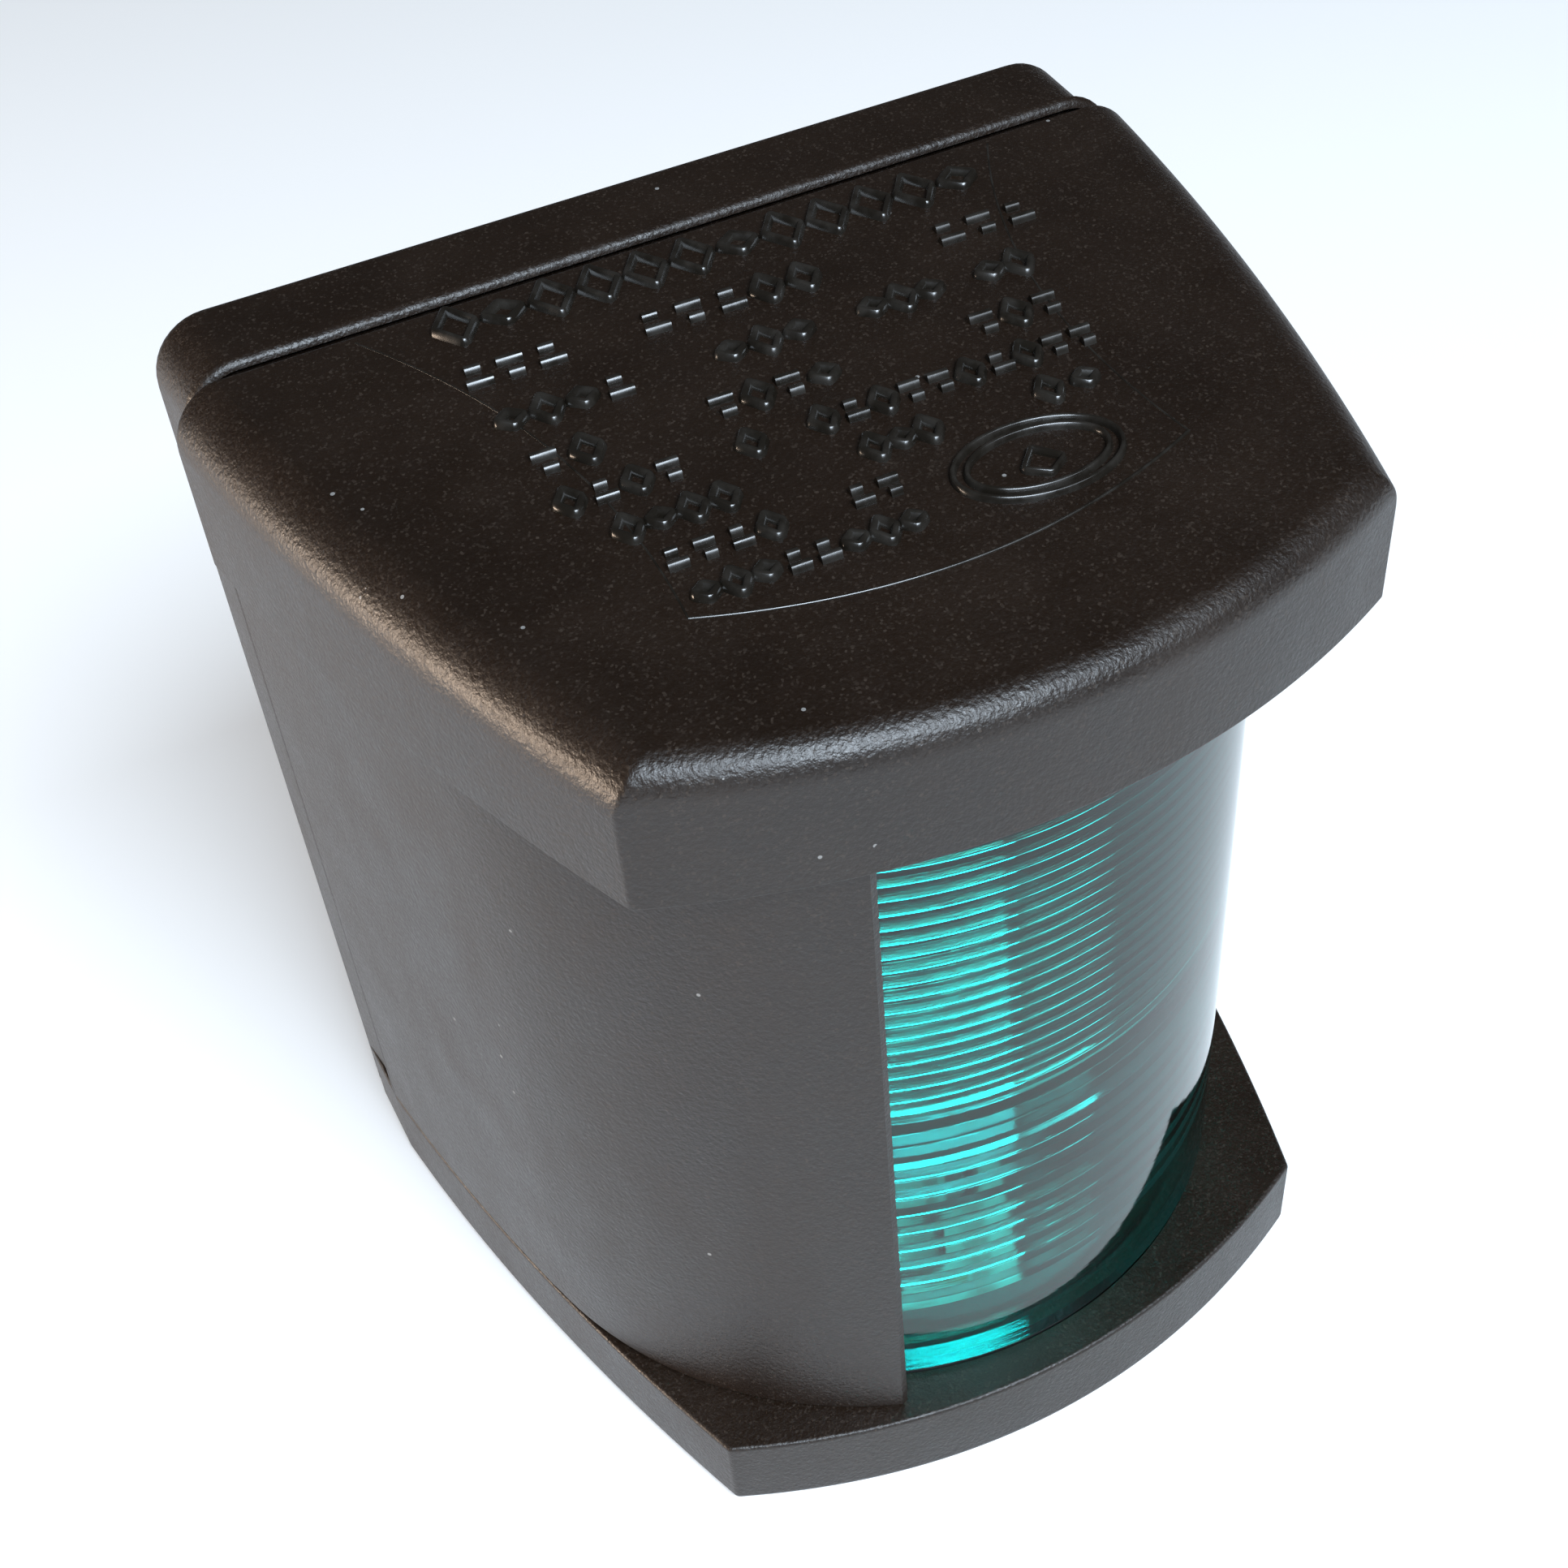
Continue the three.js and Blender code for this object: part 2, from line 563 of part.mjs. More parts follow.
// Coiled wire on the bulb's axis, with a straight lead to each cap.
class FilamentPath extends THREE.Curve {
  getPoint(t, target = new THREE.Vector3()) {
    const half = CUP_FLOOR - GAP;
    const z = BULB_MID_Z + half * (2 * t - 1);
    const coilHalf = 5;
    const fade = THREE.MathUtils.smoothstep(coilHalf + 1.5 - Math.abs(z - BULB_MID_Z), 0, 1.5);
    const turn = ((z - BULB_MID_Z) / coilHalf) * 3 * 2 * Math.PI;
    return target.set(0.9 * fade * Math.cos(turn), LENS_Y + 0.9 * fade * Math.sin(turn), z);
  }
}

function bulbFilament() {
  const [sides, radius] = [5, 0.25];
  const corners = Array.from({ length: sides }, (_, i) => (i / sides) * 2 * Math.PI).map(
    (turn) => new THREE.Vector2(radius * Math.cos(turn), radius * Math.sin(turn)),
  );
  const wire = new THREE.Shape(corners);
  return new THREE.ExtrudeGeometry(wire, { steps: 96, extrudePath: new FilamentPath() });
}

// ---- Cover screw, from beneath into a brass insert in the cover's boss ----

function coverScrew() {
  const [headLow, headHigh, tip] = [0.5, 2.9, 13];
  const blank = turned(
    [
      [0, headLow],
      [2.8, headLow],
      [3.6, headLow + 0.9],
      [3.6, headHigh],
      [COVER_SCREW_RADIUS, headHigh],
      [COVER_SCREW_RADIUS, tip - 0.8],
      [COVER_SCREW_RADIUS - 0.7, tip],
      [0, tip],
    ],
    COVER_SCREW_X,
    COVER_SCREW_Y,
  );
  const [reach, half] = [1.9, 0.45];
  const arm = (dx, dy) => {
    const [x, y] = [COVER_SCREW_X, COVER_SCREW_Y];
    return block(x - dx, x + dx, y - dy, y + dy, headLow - 1, headLow + 1.3);
  };
  return cut(blank, arm(reach, half), arm(half, reach));
}

// A plain or grooved ring round the cover screw's axis.
function screwRing(inner, outer, z0, z1, groove = 0) {
  const third = (z1 - z0) / 3;
  const outside = [
    [outer, z0],
    [outer, z0 + third],
    [outer - groove, z0 + third + groove],
    [outer - groove, z1 - third - groove],
    [outer, z1 - third],
    [outer, z1],
  ];
  const profile = groove ? outside : [outside[0], outside.at(-1)];
  return turned([...profile, [inner, z1], [inner, z0], profile[0]], COVER_SCREW_X, COVER_SCREW_Y, 24);
}

// ---- The assembly ----

const FINISHES = {
  blackMoulding: { color: 0x17140f, roughness: 0.55, metalness: 0 },
  greenLens: { color: 0x0a8f88, roughness: 0.08, metalness: 0, transparent: true, opacity: 0.6 },
  blackRubber: { color: 0x101010, roughness: 0.85, metalness: 0 },
  paleMoulding: { color: 0xd6d2c4, roughness: 0.5, metalness: 0 },
  springBronze: { color: 0xb08d57, roughness: 0.35, metalness: 1 },
  brass: { color: 0xb5954c, roughness: 0.3, metalness: 1 },
  steel: { color: 0xb9bbbe, roughness: 0.25, metalness: 1 },
  nickel: { color: 0xc4c2bb, roughness: 0.2, metalness: 1 },
  clearGlass: { color: 0xf4f8f8, roughness: 0.03, metalness: 0, transparent: true, opacity: 0.3 },
  tungsten: { color: 0x55534f, roughness: 0.5, metalness: 1 },
};

const light = new THREE.Group();
light.position.z = -MID_Z; // the frame's origin is the middle of the bulkhead face

function add(name, geometry, finish) {
  const mesh = new THREE.Mesh(geometry, new THREE.MeshStandardMaterial(FINISHES[finish]));
  mesh.name = name;
  light.add(mesh);
}

add("base_housing", baseHousing(), "blackMoulding");
add("bulkhead_gasket", bulkheadGasket(), "blackRubber");
add("cable_grommet", cableGrommet(), "blackRubber");
add("plate_seal", plateSeal(0, PLATE_FACE, PLATE_SEAL_BACK), "blackRubber");
add("lens_foot_seal", footSeal(0, FOOT_SEAL_LOW, FLANGE_THICK), "blackRubber");

add("cover_shell", coverShell(), "blackMoulding");
add("lens", lensShape(), "greenLens");
add("lens_top_seal", lensSeal(), "blackRubber");
add("cover_insert", screwRing(2.25, 3, COVER_LOW + GAP, 13.6, 0.3), "brass");
add("cover_screw", coverScrew(), "steel");
add("cover_screw_washer", screwRing(2.25, 4, 3.2, 3.6), "nickel");

add("bulb_holder", bulbHolder(), "paleMoulding");
for (const [side, name] of [[-1, "left"], [1, "right"]]) {
  const head = HOLDER_FACE - GAP;
  add("holder_screw_" + name, slottedScrew(side * HOLDER_SCREW_X, head, BULB_MID_Z, 6), "steel");
}
for (const [end, name] of [[1, "upper"], [-1, "lower"]]) {
  const z = BULB_MID_Z + end * STRIP_SCREW_OFFSET;
  add("contact_strip_" + name, contactStrip(end), "springBronze");
  add("clamp_plate_" + name, clampPlate(end), "brass");
  add("terminal_screw_" + name, slottedScrew(0, CLAMP_BACK - CLAMP_THICK - GAP, z, 6), "brass");
  add("bulb_cap_" + name, bulbCap(end), "nickel");
}
add("bulb_glass", bulbGlass(), "clearGlass");
add("bulb_filament", bulbFilament(), "tungsten");

export default light;
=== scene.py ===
"""Looks of the starboard navigation light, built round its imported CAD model.

Shapes are drawn in millimetres, with z measured up from the flange's underside, and placed in the
CAD's frame: +X is the boat's bow, -Y points out from the bulkhead, +Z is up.
"""

import json
import math

import bmesh
import bpy
import numpy as np
from mathutils import Matrix, Vector


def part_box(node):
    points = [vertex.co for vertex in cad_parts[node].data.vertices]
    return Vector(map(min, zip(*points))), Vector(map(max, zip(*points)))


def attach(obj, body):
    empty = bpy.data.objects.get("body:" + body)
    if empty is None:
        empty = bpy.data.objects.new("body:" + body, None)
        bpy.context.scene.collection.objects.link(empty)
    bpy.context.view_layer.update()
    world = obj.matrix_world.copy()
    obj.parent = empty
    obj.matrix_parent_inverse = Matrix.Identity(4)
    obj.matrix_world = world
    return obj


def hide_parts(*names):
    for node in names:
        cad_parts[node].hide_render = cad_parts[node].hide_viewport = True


MM = 0.001

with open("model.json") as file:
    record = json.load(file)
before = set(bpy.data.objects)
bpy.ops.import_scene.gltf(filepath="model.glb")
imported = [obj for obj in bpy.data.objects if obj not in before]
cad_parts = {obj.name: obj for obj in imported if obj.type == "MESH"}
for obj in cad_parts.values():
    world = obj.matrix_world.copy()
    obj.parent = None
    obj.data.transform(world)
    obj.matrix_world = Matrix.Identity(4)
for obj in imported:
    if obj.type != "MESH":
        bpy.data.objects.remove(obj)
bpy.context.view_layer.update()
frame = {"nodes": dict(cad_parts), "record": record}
MID_Z = -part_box("base_housing")[0].z / MM

# Base
BASE_HALF = 33.0
BASE_HEIGHT = 73.6
PLATE_FACE = -8.2
FLANGE_THICK = 7.0
FRONT_HALF = 23.5
CORNER_Y = -49.3
FRONT_BOW = 5.6
SIDE_BOW = 1.15
PLATE_CORNER = 4.0

# Cover
COVER_BACK = -8.5
COVER_LOW = 7.3
CAP_HALF_BACK = 33.9
CAP_HALF_FRONT = 23.8
CAP_CORNER_Y = -49.6
CAP_UNDERSIDE = 60.7
CAP_TOP = 73.1
CAP_FALL = 0.075
CEILING = 66.0
SCREEN_RADIUS = 29.4
SECTOR = math.radians(112.5)
WALL = 2.6

# Lens
LENS_Y = -25.4
LENS_RADIUS = 26.9
LENS_CREST = 24.6
LENS_ROOT = 25.5
LENS_TOP = 64.7
LENS_TUCK = math.radians(6.5)
CAVITY_RADIUS = 27.2

# Inside
BULB_Z = 34.0
SHOULDER = 18.9  # from the bulb's middle to where a cap's cone ends
STRIP_SCREW = 8.2  # from the bulb's middle, up or down, to a contact strip's screw
HOLDER_SCREW_X = 7.4
PILOT_RADIUS = 1.8
MOUNT_X = 18.0
MOUNT_Z = 36.8
CABLE = (18.5, 16.0)
COVER_SCREW = (-21.5, -27.0)

# Rounding of the cap's top edges
BACK_EDGE_RADIUS = 0.4
SIDE_RADIUS_BACK = 3.8
SIDE_RADIUS_FRONT = 2.9
FRONT_RADIUS = 2.1
UNDERSIDE_RADIUS = 0.35


# ---- Outlines ----


def arc(centre, radius, start, end, steps):
    turns = np.linspace(start, end, steps + 1)
    return [(centre[0] + radius * math.cos(t), centre[1] + radius * math.sin(t)) for t in turns]


def rounded(points, radii, steps=5, closed=True):
    """The polyline with each corner turned into an arc of its own radius."""
    points = [np.array(p, float) for p in points]
    radii = radii if hasattr(radii, "__len__") else [radii] * len(points)
    result = []
    for i, (corner, radius) in enumerate(zip(points, radii)):
        if radius == 0 or (not closed and i in (0, len(points) - 1)):
            result.append(tuple(corner))
            continue
        before = points[i - 1] - corner
        after = points[(i + 1) % len(points)] - corner
        before, after = before / np.linalg.norm(before), after / np.linalg.norm(after)
        half = math.acos(max(-1.0, min(1.0, before @ after))) / 2
        middle = (before + after) / np.linalg.norm(before + after)
        centre = corner + middle * radius / math.sin(half)
        start, end = (corner + v * radius / math.tan(half) - centre for v in (before, after))
        first = math.atan2(start[1], start[0])
        sweep = (math.atan2(end[1], end[0]) - first + math.pi) % (2 * math.pi) - math.pi
        result += arc(centre, radius, first, first + sweep, steps)
    return result


def inset(outline, depth):
    """A closed outline, anticlockwise, moved inwards by depth."""
    points = np.array(outline, float)
    along = np.roll(points, -1, 0) - points
    along /= np.linalg.norm(along, axis=1)[:, None]
    normal = np.stack([along[:, 1], -along[:, 0]], 1)
    before = np.roll(normal, 1, 0)
    mitre = (before + normal) / (1 + (before * normal).sum(1))[:, None]
    return points - mitre * depth


def side_at(start, end, bow, t):
    """Point and outward direction on a bowed side, t running from 0 to 1."""
    start, end = np.array(start, float), np.array(end, float)
    along = end - start
    out = np.array([along[1], -along[0]]) / np.linalg.norm(along)
    point = start + along * t + out * 4 * t * (1 - t) * bow
    tangent = along + out * 4 * (1 - 2 * t) * bow
    return point, np.array([tangent[1], -tangent[0]]) / np.linalg.norm(tangent)


def ring_of_sides(sides, corners, counts, corner_steps=5):
    """Closed ring of bowed sides, each (start, end, bow, depth(t)), with rounded corners between them.

    A corner's centre is where its two sides meet once both are moved in by its radius.
    """

    def shifted(side, t, extra):
        start, end, bow, depth = side
        point, out = side_at(start, end, bow, t)
        return point - out * (depth(min(1.0, max(0.0, t))) + extra)

    ends = []
    for i, side in enumerate(sides):
        after = sides[(i + 1) % len(sides)]
        radius = corners[i]
        t = np.array([1.0, 0.0])
        for _ in range(12):
            miss = shifted(side, t[0], radius) - shifted(after, t[1], radius)
            step = 1e-5
            slope = np.stack(
                [
                    (shifted(side, t[0] + step, radius) - shifted(side, t[0], radius)) / step,
                    -(shifted(after, t[1] + step, radius) - shifted(after, t[1], radius)) / step,
                ],
                1,
            )
            t = t - np.linalg.solve(slope, miss)
        ends.append((t[0], t[1], shifted(side, t[0], radius)))
    ring = []
    for i, side in enumerate(sides):
        after = sides[(i + 1) % len(sides)]
        for t in np.linspace(ends[i - 1][1], ends[i][0], counts[i] + 1):
            ring.append(tuple(shifted(side, t, 0)))
        centre, radius = ends[i][2], corners[i]
        first, last = (side_at(s[0], s[1], s[2], t)[1] for s, t in ((side, ends[i][0]), (after, ends[i][1])))
        start = math.atan2(first[1], first[0])
        sweep = (math.atan2(last[1], last[0]) - start) % (2 * math.pi)
        ring += arc(centre, radius, start, start + sweep, corner_steps)[1:-1]
    return ring


def drop(radius, below_top):
    """How far a quarter round of this radius is set in, this far below its top."""
    return radius - math.sqrt(max(0.0, radius**2 - max(0.0, radius - below_top) ** 2))


# ---- Meshes ----


def piece_of(name, points, faces):
    mesh = bpy.data.meshes.new(name)
    mesh.from_pydata([(x * MM, y * MM, (z - MID_Z) * MM) for x, y, z in points], [], faces)
    work = bmesh.new()
    work.from_mesh(mesh)
    bmesh.ops.recalc_face_normals(work, faces=work.faces)
    work.to_mesh(mesh)
    work.free()
    piece = bpy.data.objects.new(name, mesh)
    bpy.context.scene.collection.objects.link(piece)
    return piece


def loft(name, rings, closed=False):
    """A solid over rings of equal length: it ends in two lids or, when closed, runs round to its start."""
    count = len(rings[0])
    levels = len(rings)
    faces = []
    for level in range(levels if closed else levels - 1):
        low, high = level * count, (level + 1) % levels * count
        faces += [(low + i, low + (i + 1) % count, high + (i + 1) % count, high + i) for i in range(count)]
    if not closed:
        faces += [tuple(range(count)), tuple(range((levels - 1) * count, levels * count))]
    return piece_of(name, [p for ring in rings for p in ring], faces)


TURNED_TO = {"z": lambda u, v, h: (u, v, h), "y": lambda u, v, h: (u, h, v), "x": lambda u, v, h: (h, u, v)}


def stack(name, outline, levels, axis="z"):
    """A flat outline raised along an axis, through levels of (inset, height)."""
    turn = TURNED_TO[axis]
    return loft(name, [[turn(u, v, height) for u, v in inset(outline, depth)] for depth, height in levels])


def eased(low, high, radius, steps=3):
    """Levels from low to high with both edges rounded over."""
    turns = [math.radians(90 * i / steps) for i in range(steps + 1)]
    up = [(radius * (1 - math.sin(t)), low + radius * (1 - math.cos(t))) for t in turns]
    return up + [(depth, low + high - height) for depth, height in reversed(up)]


def slab(name, outline, low, high, radius=0.0, axis="z"):
    levels = eased(low, high, radius) if radius else [(0, low), (0, high)]
    return stack(name, outline, levels, axis)


def block(name, x, y, z, radius=0.0):
    outline = [(x[0], y[0]), (x[1], y[0]), (x[1], y[1]), (x[0], y[1])]
    if radius:
        outline = rounded(outline, radius, 3)
    return slab(name, outline, z[0], z[1], radius)


def turned(name, profile, centre, axis="z", steps=64):
    """A turned solid from (radius, height) points: from pole to pole, or a closed section."""
    closed = profile[0][0] > 0
    if closed and profile[0] == profile[-1]:
        profile = profile[:-1]
    turn = TURNED_TO[axis]
    rings = [
        [turn(u, v, height) for u, v in arc(centre, radius, 0, 2 * math.pi, steps)[:-1]]
        for radius, height in profile
        if radius > 0
    ]
    return loft(name, rings, closed)


def round_bar(name, centre, radius, low, high, axis="z", steps=64):
    return turned(name, [(0, low), (radius, low), (radius, high), (0, high)], centre, axis, steps)


def settle(piece):
    """Makes the modifiers' result the piece's own mesh."""
    shown = piece.evaluated_get(bpy.context.evaluated_depsgraph_get())
    mesh = bpy.data.meshes.new_from_object(shown)
    piece.modifiers.clear()
    piece.data = mesh


def combine(piece, operation, *tools):
    for tool in tools:
        step = piece.modifiers.new(tool.name, "BOOLEAN")
        step.operation = operation
        step.object = tool
        step.solver = "MANIFOLD"
    settle(piece)
    for tool in tools:
        bpy.data.objects.remove(tool)
    return piece


def smooth(piece, degrees=32):
    work = bmesh.new()
    work.from_mesh(piece.data)
    bmesh.ops.remove_doubles(work, verts=work.verts, dist=1e-7)
    bmesh.ops.dissolve_degenerate(work, edges=work.edges, dist=1e-7)
    work.to_mesh(piece.data)
    work.free()
    piece.data.shade_smooth()
    piece.data.set_sharp_from_angle(angle=math.radians(degrees))
    weighted = piece.modifiers.new("weighted", "WEIGHTED_NORMAL")
    weighted.keep_sharp = True
    weighted.weight = 80
    return piece


def finished(piece, body, slot, *replaced, degrees=32, finish=None):
    smooth(piece, degrees)
    piece.data.materials.clear()
    piece.data.materials.append(MATERIALS[finish or slot])
    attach(piece, body)
    if replaced:
        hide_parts(*replaced)
    return piece


# ---- Materials ----


class Nodes:
    """Short ways of adding and joining nodes in one material."""

    def __init__(self, name):
        self.material = bpy.data.materials.new(name)
        self.material.use_nodes = True
        self.tree = self.material.node_tree
        self.shader = self.tree.nodes["Principled BSDF"]
        self.output = self.tree.nodes["Material Output"]
        self.position = self.add("ShaderNodeTexCoord").outputs["Object"]

    def add(self, kind, links=(), **settings):
        node = self.tree.nodes.new(kind)
        for key, value in settings.items():
            if hasattr(node, key):
                setattr(node, key, value)
            else:
                node.inputs[key.replace("_", " ")].default_value = value
        for key, source in dict(links).items():
            self.tree.links.new(source, node.inputs[key])
        return node

    def stretched(self, scale):
        return self.add("ShaderNodeMapping", {"Vector": self.position}, Scale=scale).outputs[0]

    def noise(self, scale, detail=2.0, roughness=0.5, vector=None):
        links = {"Vector": vector or self.position}
        node = self.add("ShaderNodeTexNoise", links, Scale=scale, Detail=detail, Roughness=roughness)
        return node.outputs[0]

    def cells(self, scale, output="Distance", feature="F1"):
        return self.add(
            "ShaderNodeTexVoronoi", {"Vector": self.position}, feature=feature, Scale=scale
        ).outputs[output]

    def span(self, source, low, high, to_low, to_high):
        node = self.add("ShaderNodeMapRange", {"Value": source})
        for key, value in zip(("From Min", "From Max", "To Min", "To Max"), (low, high, to_low, to_high)):
            node.inputs[key].default_value = value
        return node.outputs[0]

    def maths(self, operation, first, second):
        node = self.add("ShaderNodeMath", operation=operation)
        for socket, value in zip(node.inputs, (first, second)):
            if isinstance(value, (int, float)):
                socket.default_value = value
            else:
                self.tree.links.new(value, socket)
        return node.outputs[0]

    def blend(self, factor, first, second):
        node = self.add("ShaderNodeMix", data_type="RGBA")
        self.tree.links.new(factor, node.inputs["Factor"])
        for socket, value in zip((node.inputs[6], node.inputs[7]), (first, second)):
            if isinstance(value, tuple):
                socket.default_value = (*value, 1)
            else:
                self.tree.links.new(value, socket)
        return node.outputs[2]

    def bump(self, height, distance, strength=1.0, below=None):
        links = {"Height": height}
        if below is not None:
            links["Normal"] = below
        return self.add("ShaderNodeBump", links, Strength=strength, Distance=distance).outputs[0]

    def finish(self, colour=None, roughness=None, normal=None, **values):
        for key, source in (("Base Color", colour), ("Roughness", roughness), ("Normal", normal)):
            if isinstance(source, (tuple, float)):
                value = (*source, 1) if isinstance(source, tuple) else source
                self.shader.inputs[key].default_value = value
            elif source is not None:
                self.tree.links.new(source, self.shader.inputs[key])
        for key, value in values.items():
            self.shader.inputs[key.replace("_", " ")].default_value = value
        return self.material

    def let_lamps_through(self, colour):
        """Lets a lamp's light pass straight through, tinted, so that it reaches what is behind."""
        lamp_ray = self.add("ShaderNodeLightPath").outputs["Is Shadow Ray"]
        through = self.add("ShaderNodeBsdfTransparent", Color=(*colour, 1))
        links = {0: lamp_ray, 1: self.shader.outputs[0], 2: through.outputs[0]}
        mix = self.add("ShaderNodeMixShader", links)
        self.tree.links.new(mix.outputs[0], self.output.inputs["Surface"])


def speckled_moulding():
    """Black plastic from a spark-eroded mould: a fine matt grain, faint mottling, a few specks of dust."""
    n = Nodes("black_moulding")
    grain = n.noise(3000, 2, 0.6)
    pits = n.cells(6500, "Color")
    mottle = n.noise(140, 4, 0.6)
    streak = n.noise(260, 3, 0.6, n.stretched((1, 1, 0.35)))
    tone = n.blend(n.span(mottle, 0.35, 0.7, 0, 1), (0.0085, 0.0038, 0.0015), (0.0125, 0.006, 0.0027))
    tone = n.blend(n.span(pits, 0.74, 1.0, 0, 0.85), tone, (0.042, 0.029, 0.021))
    dust_here = n.maths("LESS_THAN", n.cells(420), 0.06)
    dust_some = n.maths("GREATER_THAN", n.noise(95, 1), 0.6)
    dust = n.maths("MULTIPLY", dust_here, dust_some)
    tone = n.blend(dust, tone, (0.22, 0.21, 0.2))
    rough = n.maths("ADD", n.span(mottle, 0.3, 0.7, 0.38, 0.45), n.span(pits, 0, 1, -0.05, 0.07))
    rough = n.maths("ADD", rough, n.span(streak, 0.3, 0.7, -0.02, 0.02))
    height = n.maths("ADD", grain, n.maths("MULTIPLY", pits, 0.35))
    return n.finish(tone, rough, n.bump(height, 0.00008, 0.85), IOR=1.52)


def polished_moulding():
    """The same plastic where the mould was engraved and polished."""
    n = Nodes("polished_moulding")
    patches = n.noise(700, 3)
    tone = n.blend(n.span(patches, 0.4, 0.65, 0, 1), (0.009, 0.007, 0.005), (0.02, 0.017, 0.014))
    return n.finish(tone, n.span(patches, 0.3, 0.7, 0.16, 0.3), n.bump(patches, 0.00003, 0.5), IOR=1.58)


def green_lens():
    """Clear green plastic, smooth outside, with faint haze and fine handling marks."""
    n = Nodes("green_lens")
    haze = n.noise(300, 4, 0.6)
    scratches = n.noise(900, 3, 0.6, n.stretched((0.12, 0.12, 2.2)))
    rough = n.span(haze, 0.35, 0.75, 0.015, 0.07)
    tint = n.blend(n.span(haze, 0.3, 0.7, 0, 1), (0.0, 0.52, 0.47), (0.0, 0.6, 0.54))
    n.let_lamps_through((0.1, 1.0, 0.96))
    return n.finish(
        tint, rough, n.bump(scratches, 0.000012, 0.35),
        Transmission_Weight=1.0, IOR=1.49, Specular_IOR_Level=0.15,
    )


def clear_glass():
    n = Nodes("clear_glass")
    ripple = n.noise(150, 2)
    n.let_lamps_through((0.92, 0.94, 0.94))
    return n.finish(
        (0.96, 0.98, 0.98), n.span(ripple, 0.3, 0.7, 0.0, 0.03), n.bump(ripple, 0.00005, 0.2),
        Transmission_Weight=1.0, IOR=1.45,
    )


def rubber():
    n = Nodes("black_rubber")
    grain = n.noise(2600, 3)
    bloom = n.noise(180, 4, 0.6)
    tone = n.blend(n.span(bloom, 0.4, 0.75, 0, 1), (0.011, 0.011, 0.011), (0.03, 0.029, 0.028))
    return n.finish(tone, n.span(bloom, 0.3, 0.7, 0.7, 0.9), n.bump(grain, 0.00004, 0.5))


def metal(name, light, dark, roughness, scale=500):
    """Worn metal: duller patches and fine turning or drawing marks."""
    n = Nodes(name)
    patches = n.noise(scale, 4, 0.6)
    marks = n.noise(2200, 2, 0.5, n.stretched((0.25, 0.25, 3)))
    tone = n.blend(n.span(patches, 0.38, 0.68, 0, 1), light, dark)
    dull = n.span(patches, 0.3, 0.7, roughness - 0.06, roughness + 0.1)
    rough = n.maths("ADD", dull, n.span(marks, 0.3, 0.7, -0.04, 0.04))
    return n.finish(tone, rough, n.bump(marks, 0.00002, 0.4), Metallic=1.0)


def pale_moulding():
    n = Nodes("pale_moulding")
    grain = n.noise(2400, 3)
    patches = n.noise(160, 4, 0.6)
    tone = n.blend(n.span(patches, 0.35, 0.7, 0, 1), (0.86, 0.85, 0.81), (0.76, 0.74, 0.68))
    return n.finish(tone, n.span(patches, 0.3, 0.7, 0.42, 0.6), n.bump(grain, 0.00003, 0.4))


MATERIALS = {
    "black_moulding": speckled_moulding(),
    "polished_moulding": polished_moulding(),
    "black_rubber": rubber(),
    "green_lens": green_lens(),
    "clear_glass": clear_glass(),
    "pale_moulding": pale_moulding(),
    "brass": metal("brass", (0.62, 0.45, 0.18), (0.36, 0.24, 0.1), 0.3),
    "steel": metal("steel", (0.56, 0.57, 0.58), (0.36, 0.36, 0.37), 0.28),
    "nickel": metal("nickel", (0.66, 0.64, 0.6), (0.45, 0.43, 0.4), 0.24),
    "spring_bronze": metal("spring_bronze", (0.58, 0.38, 0.2), (0.33, 0.19, 0.1), 0.3),
    "tungsten": metal("tungsten", (0.3, 0.29, 0.28), (0.16, 0.15, 0.15), 0.45),
}
for part in frame["record"]["subparts"]:
    mesh = frame["nodes"][part["node"]].data
    mesh.materials.clear()
    mesh.materials.append(MATERIALS[part["material_slot"]])


# ---- Base ----


def upright(half, low, high, top_radius, low_radius, steps=10):
    """An upright rectangle in XZ, rounded at its top and bottom corners."""
    corners = [(half, high), (-half, high), (-half, low), (half, low)]
    return rounded(corners, [top_radius, top_radius, low_radius, low_radius], steps)


def flange_ring(z):
    """The flange's outline at height z, set in where its edges are rounded."""
    set_in = max(drop(0.9, z), drop(0.3, FLANGE_THICK - z))
    back = -1.4
    corners = [(-BASE_HALF, back), (-BASE_HALF, PLATE_FACE), (-FRONT_HALF, CORNER_Y)]
    corners += [(-x, y) for x, y in reversed(corners)]
    bows = [0, SIDE_BOW, FRONT_BOW, SIDE_BOW, 0, 0]
    sides = [(corners[i], corners[(i + 1) % 6], bows[i], lambda t: set_in) for i in range(6)]
    ring = ring_of_sides(sides, [3, 0.55, 0.55, 3, 0.4, 0.4], [2, 24, 44, 24, 2, 2])
    return [(x, y, z) for x, y in ring]


def quarter_levels(radius, steps):
    """Heights below a top edge at which to draw its quarter round."""
    return [radius * (1 - math.sin(math.radians(90 * i / steps))) for i in range(steps + 1)]


def rail(side):
    """One of the two upright hooks that the cover's lips slide down behind."""
    points = [(24.6, -7.2), (24.6, -14), (29, -14), (29, -12.3), (26.6, -12.3), (26.6, -7.2)]
    outline = rounded([(side * x, y) for x, y in points], [0, 0.4, 0.4, 0.3, 0.4, 0], 3)
    if side > 0:
        outline = outline[::-1]
    return stack("rail", outline[::-1], [(0, 6), (0, 55.6), (0.35, 56)])


def lens_band(inner, outer, margin, z0, z1, steps=90):
    """A band under the lens's foot, wider than it by margin."""
    turn = margin / LENS_RADIUS
    start, end = -SECTOR - LENS_TUCK - turn, LENS_TUCK + turn
    outline = arc((0, LENS_Y), outer + margin, start, end, steps)
    outline += arc((0, LENS_Y), inner - margin, end, start, steps)
    return slab("band", outline, z0, z1)


